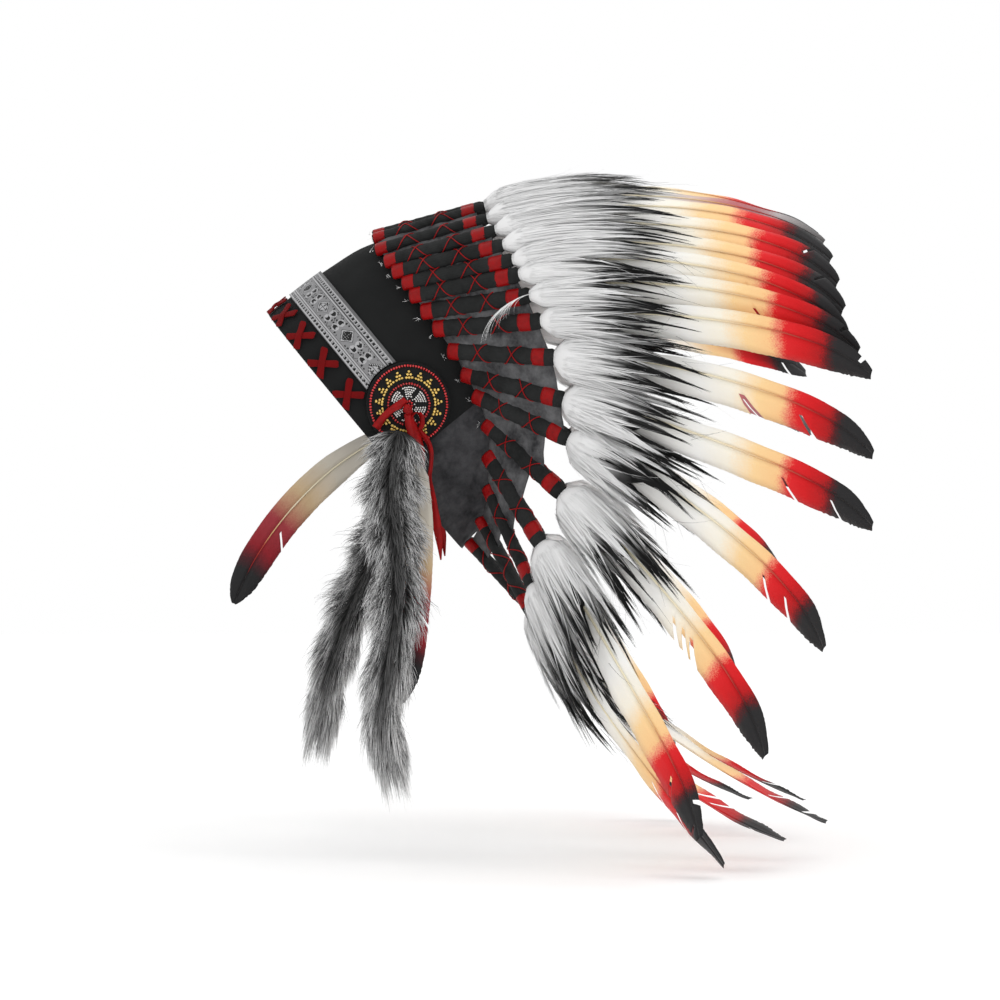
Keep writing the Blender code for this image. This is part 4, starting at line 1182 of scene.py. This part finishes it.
plumeForm = {
    "length": 0.122, "halfWidth": 0.0205, "halfDepth": 0.0125, "locks": 26, "perLock": 35, "points": 6,
    "hair": 0.00071, "strays": 50, "variants": 5, "white": 0.80, "black": 0.010, "blackFrom": 0.28,
    "whiteLocks": 0.15, "topLonger": 0.16, "topLater": 0.17, "droop": 0.006,
    "core": ((0.0005, 0.32), (0.003, 0.50), (0.008, 0.74), (0.016, 0.90), (0.028, 0.93), (0.042, 0.86),
             (0.053, 0.56), (0.062, 0.32), (0.072, 0.02)),
}


def strandMesh(name, paths, sides, widths, tones, material):
    # flat tapered hairs: paths (n, k, 3), sides (n, 3) or (n, k, 3), widths (n, k), tones (n, k)
    count, steps = paths.shape[:2]
    if sides.ndim == 2:
        sides = np.repeat(sides[:, None], steps, axis=1)
    points = np.stack([paths - sides * widths[..., None] / 2, paths + sides * widths[..., None] / 2], axis=2)
    index = np.arange(count * steps * 2).reshape(count, steps, 2)
    faces = np.stack([index[:, :-1, 0], index[:, :-1, 1], index[:, 1:, 1], index[:, 1:, 0]], axis=-1)
    made = showMesh(name, points.reshape(-1, 3), faces.reshape(-1, 4).tolist(), material)
    paintTone(made, "hair", np.repeat(tones.reshape(-1), 2))
    return made


def plumeHairs(seed):
    # paths, flat sides, widths, paleness and the share where each hair turns black
    rng = np.random.default_rng(seed)
    form = plumeForm
    t = np.linspace(0, 1, form["points"])[None, :] ** 1.2
    groups = []
    for k in range(form["locks"]):
        n = form["perLock"]
        phi = 2 * math.pi * (k + rng.uniform(-0.4, 0.4)) / form["locks"]
        flank = abs(math.cos(phi))
        white = flank > 0.945 or rng.uniform() < form["whiteLocks"]
        reach = form["length"] * (rng.uniform(0.54, 0.84) if white else rng.uniform(0.80, 1.14))
        flare, turn = rng.uniform(0.75, 1.35), rng.normal(0, 0.24)
        start = 2.0 if white else form["blackFrom"] + 0.16 * flank ** 2 + rng.normal(0, 0.05)
        own = phi + rng.normal(0, 0.20, n)[:, None]
        aside = np.abs(own - phi)
        deep = (rng.uniform(0.45, 1, n) ** 0.5)[:, None]
        swing = own + (phi + turn - own) * t ** 1.5 * 0.94
        rise = 0.34 + 0.66 * (1 - np.exp(-t * reach / 0.0085))
        share = rise * (deep + (1 - deep) * t) * (1 + (flare - 1) * t ** 1.3)
        longWay = reach * (1 - 0.5 * aside - np.abs(rng.normal(0, 0.055, (n, 1))))
        sway = rng.normal(0, 0.0026, 2)
        ripple = 0.0005 * np.sin(8 * t + rng.uniform(0, 6.28, (n, 1)))
        x = form["halfWidth"] * share * np.cos(swing) + ripple + sway[0] * t ** 2
        y = form["halfDepth"] * share * np.sin(swing) + ripple * 0.5 + sway[1] * t ** 2
        z = longWay * t
        tilt = rng.normal(0, 0.15, n)
        sides = unit(np.column_stack([-form["halfWidth"] * np.sin(own[:, 0]),
                                      form["halfDepth"] * np.cos(own[:, 0]), np.zeros(n)]))
        outs = np.column_stack([np.cos(own[:, 0]), np.sin(own[:, 0]), np.zeros(n)])
        sides = sides * np.cos(tilt)[:, None] + outs * np.sin(tilt)[:, None]
        widths = form["hair"] * np.interp(t, (0, 0.15, 0.72, 1), (0.7, 1.0, 0.9, 0.10))
        widths = widths * rng.uniform(0.7, 1.3, (n, 1))
        pale = form["white"] * rng.uniform(0.90, 1.06, (n, 1)) * (0.88 + 0.12 * stepped(0.0, 0.18, t))
        groups.append((np.stack([x, y, z], axis=-1), sides, widths, pale,
                       start + 0.8 * aside + rng.normal(0, 0.025, (n, 1))))
    n = form["strays"]
    swing, out = rng.uniform(0, 2 * math.pi, (n, 1)), rng.uniform(0.15, 0.8, (n, 1))
    base, longWay = rng.uniform(0.25, 0.92, (n, 1)) * form["length"], rng.uniform(0.016, 0.042, (n, 1))
    bend = rng.normal(0, 0.5, (n, 1))
    radial = 0.85 + longWay / 0.02 * np.sin(out) * t * (0.5 + 0.4 * t)
    paths = np.stack([form["halfWidth"] * radial * np.cos(swing + bend * t), form["halfDepth"] * radial
                      * np.sin(swing + bend * t), base + longWay * np.cos(out) * t], axis=-1)
    sides = np.column_stack([-np.sin(swing[:, 0]), np.cos(swing[:, 0]), np.zeros(n)])
    widths = np.interp(t, (0, 0.4, 1), (0.00026, 0.00020, 0.00006)) * np.ones((n, 1))
    start = np.where(rng.uniform(0, 1, (n, 1)) < 0.3, 2.0, 0.44)
    groups.append((paths, sides, widths, form["white"] * np.ones((n, len(t[0]))), start))
    return [np.concatenate(part) for part in zip(*groups)]


def plumeBody():
    # the downy core that the hairs cover: rings along the quill
    sides, rings = 14, plumeForm["core"]
    swing = 2 * math.pi * np.arange(sides) / sides
    points = np.concatenate([np.column_stack([plumeForm["halfWidth"] * wide * np.cos(swing),
                                              plumeForm["halfDepth"] * wide * np.sin(swing),
                                              np.full(sides, z)]) for z, wide in rings])
    return points, tubeFaces(len(rings), sides)


def roomBeside(number):
    # half the way to the neighbours, a quarter of the plume's length out
    spot = arcFrames(fan[number], [0.05])[0][0]
    gaps = []
    for other in (number - 1, number + 1):
        if other in fan:
            line = arcFrames(fan[other], np.linspace(0, 0.12, 13))[0]
            gaps.append(np.linalg.norm(line - spot, axis=1).min())
    return min(gaps) / 2


def sagged(places, local):
    # the locks' ends hang a little
    drop = plumeForm["droop"] * np.clip(local[:, 2:] / plumeForm["length"], 0, None) ** 2.2
    return places - drop * [0, 0, 1]


plumeVariants = [plumeHairs(40 + k) for k in range(plumeForm["variants"])]
bodyPoints, bodyFaces = plumeBody()
for number in range(-fanLast, fanLast + 1):
    word, place = placeWord(number), fan[number]
    paths, sides, widths, pale, start = plumeVariants[number % plumeForm["variants"]]
    slim = min(max(roomBeside(number) * 1.35 / plumeForm["halfWidth"], 0.62), 1.0)
    flip = -1 if (number // plumeForm["variants"]) % 2 else 1
    high = 1 - stepped(4, 8, abs(number))
    scale = np.array([slim * flip, 0.85 + 0.15 * slim, 1 + plumeForm["topLonger"] * high])
    count, steps = paths.shape[:2]
    local = (paths * scale).reshape(-1, 3)
    _, tangent, wide, out = arcFrames(place, local[:, 2])
    laid = sagged(layOnArc(place, local), local).reshape(count, steps, 3)
    flatSides = np.repeat((sides * [flip, 1, 1])[:, None], steps, axis=1).reshape(-1, 3)
    worldSides = (wide * flatSides[:, 0:1] + out * flatSides[:, 1:2] + tangent * flatSides[:, 2:3])
    share = paths[..., 2] / plumeForm["length"]
    later = plumeForm["topLater"] * high
    dark = stepped(start + later - 0.05, start + later + 0.06, share)
    tones = pale * (1 - dark) + plumeForm["black"] * dark
    hairs = strandMesh("plume_" + word, laid, worldSides.reshape(count, steps, 3), widths, tones, fluff)
    core = showMesh("core_" + word, layOnArc(place, bodyPoints * scale), bodyFaces, fluff)
    if flip > 0:
        core.data.flip_normals()
    dark = stepped(0.36 + later, 0.46 + later, bodyPoints[:, 2] / plumeForm["length"])
    paintTone(core, "hair", 0.80 * (1 - dark) + plumeForm["black"] * dark)
    hang(joined("plume_" + word, [hairs, core]), "dyed_feather", f"feather_{word}")
print("plumes made")


# Loose down: a wisp over two sleeves, and small tufts where the sleeves are sewn on.

downForm = {"hairs": 26, "width": 0.00022, "tufts": 5, "white": 0.85}


def looseDown():
    rng = np.random.default_rng(77)
    steps = np.linspace(0, 1, 9)
    paths = []
    for _ in range(downForm["hairs"]):
        far = rng.uniform(0.35, 1.0)
        across = 0.001 + 0.034 * far * steps ** 1.25 + rng.normal(0, 0.0012) * steps
        along = 0.001 - 0.052 * far * steps ** 0.8 + 0.010 * far * steps ** 3 + rng.normal(0, 0.0016) * steps
        lift = 0.0058 + 0.0035 * np.sin(np.pi * steps) + rng.uniform(0, 0.0008)
        paths.append(layOnArc(fan[7], np.column_stack([across, lift, along])))
    for number in range(-sideLast, sideLast + 1):
        for _ in range(downForm["tufts"]):
            spot, way = rng.normal(0, 0.0010, 2), rng.normal(0, 0.0016, 3)
            line = np.column_stack([0.0052 + spot[0] + way[0] * steps, 0.0012 + abs(way[1]) * steps,
                                    -0.0925 + spot[1] + way[2] * steps])
            paths.append(layOnArc(fan[number], line))
    paths = np.array(paths)
    sides = unit(np.cross(paths[:, -1] - paths[:, 0], [0.9, 0.1, 0.3]))
    widths = downForm["width"] * np.interp(steps, (0, 0.3, 1), (1.0, 1.0, 0.25)) * np.ones((len(paths), 1))
    tones = np.full(widths.shape, downForm["white"])
    return strandMesh("looseDown", paths, sides, widths, tones, fluff)


hang(looseDown(), "dyed_feather")
print("loose down made")


# Fur drops: a strip of long fur, dark along its middle, with silver tufts down both sides.

furForm = {
    "hairs": 10100, "points": 5, "hair": 0.00053, "length": 0.262, "coreWide": 0.0075, "coreDeep": 0.0050,
    "dark": 0.020, "mid": 0.085, "silver": 1.05, "tufts": 30, "gather": 0.70, "wisps": 0.035,
    "spread": ((0, 0.0150), (0.12, 0.0185), (0.55, 0.0165), (0.80, 0.0110), (1, 0.0080)),
    "fall": ((0, 0.010), (0.5, 0.013), (0.75, 0.024), (1, 0.034)),
}


def furDrop(name, side, spine, wide, seed):
    rng = np.random.default_rng(seed)
    form, n = furForm, furForm["hairs"]
    t = np.linspace(0, 1, form["points"])[None, :, None]
    share = rng.uniform(0, 1, n) ** 0.95
    swing = rng.uniform(0, 2 * math.pi, n)
    knots = np.linspace(0, 1, len(spine))
    root, down = (np.column_stack([np.interp(share, knots, line[:, axis]) for axis in range(3)])
                  for line in (spine, unit(np.gradient(spine, axis=0))))
    out = np.array([side, 0.0, 0.0])
    wide = wide[None] - down * (down @ wide)[:, None]
    taper = np.interp(share, (0, 0.06, 0.3, 0.8, 1), (0.55, 0.95, 1.05, 0.85, 0.6))
    flat, deep = np.cos(swing)[:, None], np.sin(swing)[:, None]
    root = root + (wide * form["coreWide"] * flat + out * form["coreDeep"] * deep) * taper[:, None]
    wisp = rng.uniform(0, 1, n) < form["wisps"]
    lean = rng.uniform(0.65, 1.15, n) * (0.85 + 0.25 * np.sin(share * 37 + 2.0 * np.sin(swing)))
    lean = np.where(wisp, lean * 1.5, lean)
    spread = np.interp(share, *np.array(form["spread"]).T) * lean
    radial = wide * flat * spread[:, None] + out * deep * spread[:, None] * 0.55
    fall = np.interp(share, *np.array(form["fall"]).T) * rng.uniform(0.6, 1.3, n)
    # hairs gather into tufts
    bucket = np.floor(swing / (2 * math.pi) * 11)
    phase = bucket * 0.37 % 1
    centre = (np.floor(share * form["tufts"] + phase) + 0.5 - phase) / form["tufts"]
    gather = (centre - share) * form["length"] * form["gather"]
    turned = ((bucket + 0.5) / 11 * 2 * math.pi - swing)[:, None]
    aside = (-wide * deep + out * flat * 0.55) * turned * spread[:, None] * 0.6
    sway = wide * rng.normal(0, 0.0013, n)[:, None] + aside
    paths = (root[:, None] + radial[:, None] * (1 - (1 - t) ** 1.8)
             + down[:, None] * (fall[:, None, None] * t ** 1.25 + gather[:, None, None] * t ** 1.5)
             + sway[:, None] * t ** 1.6)
    ahead = paths[:, -1] - paths[:, 0]
    sides = unit(np.cross(ahead, wide * flat * 0.4 + out * (deep + 0.3 * np.sign(deep))))
    tilt = rng.normal(0, 0.4, n)[:, None]
    normal = np.cross(sides, unit(ahead))
    sides = sides * np.cos(tilt) + normal * np.sin(tilt)
    thick = np.where(wisp, 0.5, rng.uniform(0.6, 1.3, n))[:, None]
    widths = form["hair"] * np.interp(t[..., 0], (0, 0.3, 1), (0.8, 1.0, 0.14)) * thick
    edge = stepped(0.16, 0.78, np.abs(flat)[:, 0]) + 0.60 * stepped(0.70, 1.0, share)
    silver = stepped(0.30, 0.95, t[..., 0]) * np.minimum(0.07 + edge, 1.1)[:, None]
    bright = rng.uniform(0.50, 1.20, (n, 1)) * np.where(rng.uniform(0, 1, (n, 1)) < 0.20, 0.15, 1.0)
    tones = form["dark"] + (form["mid"] - form["dark"]) * t[..., 0] * rng.uniform(0.2, 1.4, (n, 1))
    tones = np.where(wisp[:, None], 0.012, tones + form["silver"] * silver * bright)
    hairs = strandMesh(name, paths, sides, widths, np.clip(tones, 0.008, 0.80), furHair)
    hide, faces = tube(spine, np.interp(knots, (0, 0.1, 0.9, 1), (0.004, 0.0055, 0.0050, 0.002)), 8)
    core = showMesh(name + "Hide", hide, faces, furHair)
    paintTone(core, "hair", np.full(len(hide), 0.02))
    return joined(name, [hairs, core])


# each side's lift off the rosette, its lean forward in degrees, and how its middle line drifts
furHangs = {
    1: (0.0153, 1, ((0.0, -0.001), (0.10, -0.006), (0.20, -0.006), (0.33, -0.002), (0.50, -0.001),
                    (0.66, -0.006), (0.80, -0.010), (0.92, -0.005))),
    -1: (0.0090, 17, ((0.0, 0.0), (0.15, 0.003), (0.35, 0.003), (0.55, -0.003), (0.75, -0.004),
                      (0.92, 0.001))),
}
for side, word in bothSides:
    lift, lean, drift = furHangs[side]
    turn = Matrix.Rotation(math.radians(-lean), 3, "X")
    down, wide = turn @ Vector((0, 0, -1)), turn @ Vector((0, 1, 0))
    top = onRosette(side, -0.0075, 0.020, lift)
    spine = flowing([top + down * furForm["length"] * share + wide * sway for share, sway in drift], 40)
    hang(furDrop("fur_" + word, side, spine, np.array(wide), 3 + side), "grey_fur", f"fur_drop_{word}")
print("fur drops made")


# Drop feathers that hang from the rosettes.

dropEdge = ((0.0, 0.30), (0.10, 0.66), (0.30, 0.96), (0.50, 1.0), (0.80, 0.98), (0.90, 0.84), (0.96, 0.58),
            (1.0, 0.08))
dropForm = dict(vaneForm, start=0.05, rows=90, narrow=dropEdge, wide=dropEdge, camber=0.0008,
                shaftAside=((0.0, 0.0), (0.3, -0.10), (0.8, -0.08), (1.0, 0.0)),
                shaft=((0.0, 0.0009), (0.5, 0.0006), (0.97, 0.0002)))
dropSize = {"length": 0.198, "width": 0.0275, "off": 0.0029}
dropHangs = {1: (0.004, 0.028, 93, 6, 1), -1: (-0.018, 0.016, 133, -20, 6)}
for side, word in bothSides:
    aft, down, pitch, bend, flare = dropHangs[side]
    start = onRosette(side, aft, down, dropSize["off"])
    ahead, chord = sideDirection(pitch - bend, flare, side), sideDirection(pitch, flare, side)
    across = Vector((side, 0, 0)).cross(chord).normalized()
    place = arcPlace(start, ahead, chord, across, dropSize["length"])
    # the drop feathers' vane takes the ramp darkened with painted shade
    feather = longFeather("dropFeather_" + word, place, dropSize["width"], 0.0, side, 300 + side, shadedDropVane,
                          ((0.62, 0.0010, "wide"),), 0.0, dropForm)
    hang(feather, "dyed_feather", f"drop_feather_{word}")
print("drop feathers made")


# Ribbons tied on the rosettes: each tail is listed as aft, down, width and lift in millimetres.

ribbonForm = {"thickness": 0.0005, "steps": 40, "columns": 6}
shortTail = ((-2.5, -3.4, 5.2, 1.6), (-7.9, 0.4, 6.2, 2.6), (-13.8, 4.1, 5.0, 3.6), (-19.7, 9.5, 5.2, 4.6),
             (-25.6, 17.9, 6.2, 5.6))
wideTail = ((-0.9, 6.3, 6.0, 2.4), (1.3, 15.0, 8.4, 5.0), (4.5, 24.7, 9.2, 7.5), (8.2, 35.4, 7.2, 8.5),
            (10.7, 46.6, 0.8, 8.5))
longTail = ((6.2, 18.5, 4.0, 3.0), (12.8, 25.8, 3.8, 4.0), (16.3, 34.4, 3.4, 5.0), (16.3, 45.0, 3.0, 6.0),
            (15.3, 55.7, 3.0, 6.5), (17.4, 68.6, 4.4, 7.0), (20.3, 88.1, 7.0, 7.0), (22.8, 101.0, 5.8, 7.0),
            (24.4, 117.0, 0.8, 7.0))


def ribbonStrip(name, knots, widths, outward, cup, twist=0.0):
    steps, columns = ribbonForm["steps"], ribbonForm["columns"]
    path = flowing(knots, steps)
    wides = np.interp(np.linspace(0, 1, steps), np.linspace(0, 1, len(widths)), widths)
    points, spots = [], []
    for k, (point, way) in enumerate(zip(path, unit(np.gradient(path, axis=0)))):
        share = k / (steps - 1)
        flat = unit(np.cross(outward, way))
        c, s = math.cos(twist * math.sin(share * math.pi)), math.sin(twist * math.sin(share * math.pi))
        across, up = flat * c + np.cross(way, flat) * s, np.cross(way, flat) * c - flat * s
        for c in range(columns + 1):
            s = 2 * c / columns - 1
            dip = -cup * s * s + 0.00035 * math.sin(9 * share + 4 * s)
            points.append(point + across * s * wides[k] / 2 + up * dip)
            spots.append((share * 14, c / columns))
    made = showMesh(name, points, gridFaces(steps - 1, columns), redSatin)
    paintUv(made, "wrap", spots)
    return thicken(made, ribbonForm["thickness"], 0.0)


def ribbon(side, word):
    turn = rosetteFrame(side).to_3x3()
    aft, out = np.array(turn.col[0]) * side, np.array(turn.col[2])

    def tail(name, way, cup, twist):
        knots = [onRosette(side, a / 1000, d / 1000, lift / 1000) for a, d, _, lift in way]
        return ribbonStrip(name, knots, [w / 1000 for _, _, w, _ in way], out, cup, twist)

    pieces = [tail("shortTail", shortTail, 0.0008, 0.3), tail("wideTail", wideTail, 0.0016, -0.2),
              tail("longTail", longTail, 0.0005, 0.4)]
    loop = []
    for k in range(11):
        swing = 2 * math.pi * (0.03 + 0.94 * k / 10) - math.pi / 2
        c, s = math.cos(swing), math.sin(swing)
        loop.append(np.array(onRosette(side, 0.0055 + 0.0040 * c, 0.0125 + 0.0068 * s, 0.0040 + 0.0016 * c)))
    strip = ribbonStrip("loop", loop, [0.0052] * 5, -aft * 0.35 + out, 0.0002)
    bow, path = pointsOf(strip), flowing(loop, ribbonForm["steps"])
    # the loop stands on its edge, so that its inside shows
    nearest = path[np.argmin(np.linalg.norm(bow[:, None] - path[None], axis=2), axis=1)]
    radial = unit(nearest - np.mean(loop, axis=0))
    amount = np.sum((bow - nearest) * radial, axis=1)[:, None]
    pieces.append(movePoints(strip, bow + (out * 0.85 + aft * 0.52 - radial) * amount))
    shape, faces = ball(20, 14)
    creases = 1 + 0.10 * np.sin(5 * np.arctan2(shape[:, 1], shape[:, 0]) + 3 * shape[:, 2])
    shape = shape * creases[:, None] * np.array([0.0036, 0.0044, 0.0024])
    turned = [onRosette(side, x * 0.85 - y * 0.5 - 0.0010, -(y * 0.85 + x * 0.5) + 0.0040, 0.0026 + z)
              for x, y, z in shape]
    knot = showMesh("knot", turned, faces, redSatin)
    paintUv(knot, "wrap", np.column_stack([shape[:, 1] * 500, shape[:, 0] * 100]))
    pieces.append(knot)
    return joined("ribbon_" + word + "_satin", pieces)


for side, word in bothSides:
    hang(ribbon(side, word), "red_satin", f"ribbon_{word}")
print("ribbons made")


# Floor, lights and camera.

stageForm = {"drop": 0.012, "size": 7.0}
bpy.ops.mesh.primitive_plane_add(size=stageForm["size"], location=(0, 0, cadBox[0].z - stageForm["drop"]))
floor = bpy.context.object
floor.name = "floor"
pick(floor)
bpy.ops.object.transform_apply(location=True, rotation=True, scale=True)
paper, paperTree, paperShader = startMaterial("paper", (0.92, 0.92, 0.92), 0.9, Emission_Strength=0.10)
grain = noise(paperTree, objectPlace(paperTree), 14.0)
toColour(paperTree, paperShader, blendColours(paperTree, grain, (0.90, 0.90, 0.90), (0.94, 0.94, 0.94)))
paperShader.inputs["Emission Color"].default_value = (1, 1, 1, 1)
floor.data.materials.append(paper)
floor.data.shade_smooth()
floor.select_set(False)

lightForm = (
    ("keyLight", (0.7, 2.3, 1.3), 1.6, 16),
    ("topLight", (0.5, -0.4, 2.4), 2.0, 5),
    ("cameraFill", (2.6, -1.0, 0.6), 1.6, 2),
    ("lowBack", (1.2, 1.8, -0.25), 0.9, 4),
)
for name, where, size, power in lightForm:
    lamp = bpy.data.lights.new(name, "AREA")
    lamp.size, lamp.energy = size, power
    lampObject = bpy.data.objects.new(name, lamp)
    bpy.context.scene.collection.objects.link(lampObject)
    lampObject.location = where
    lampObject.rotation_euler = (Vector((0, 0.08, -0.1)) - Vector(where)).to_track_quat("-Z", "Y").to_euler()

world = bpy.data.worlds.new("studio")
bpy.context.scene.world = world
world.use_nodes = True
world.node_tree.nodes["Background"].inputs["Color"].default_value = (1, 1, 1, 1)
world.node_tree.nodes["Background"].inputs["Strength"].default_value = 1.0
bpy.context.scene.view_settings.view_transform = "Standard"

camera = bpy.data.cameras.new("camera")
cameraObject = bpy.data.objects.new("camera", camera)
bpy.context.scene.collection.objects.link(cameraObject)
cameraObject.location = (2.2, 0.0819, -0.1209)
cameraObject.rotation_euler = (math.radians(90), 0, math.radians(90))
camera.lens, camera.sensor_width = 101.5, 36
bpy.context.scene.camera = cameraObject
print("stage, lights and camera set")
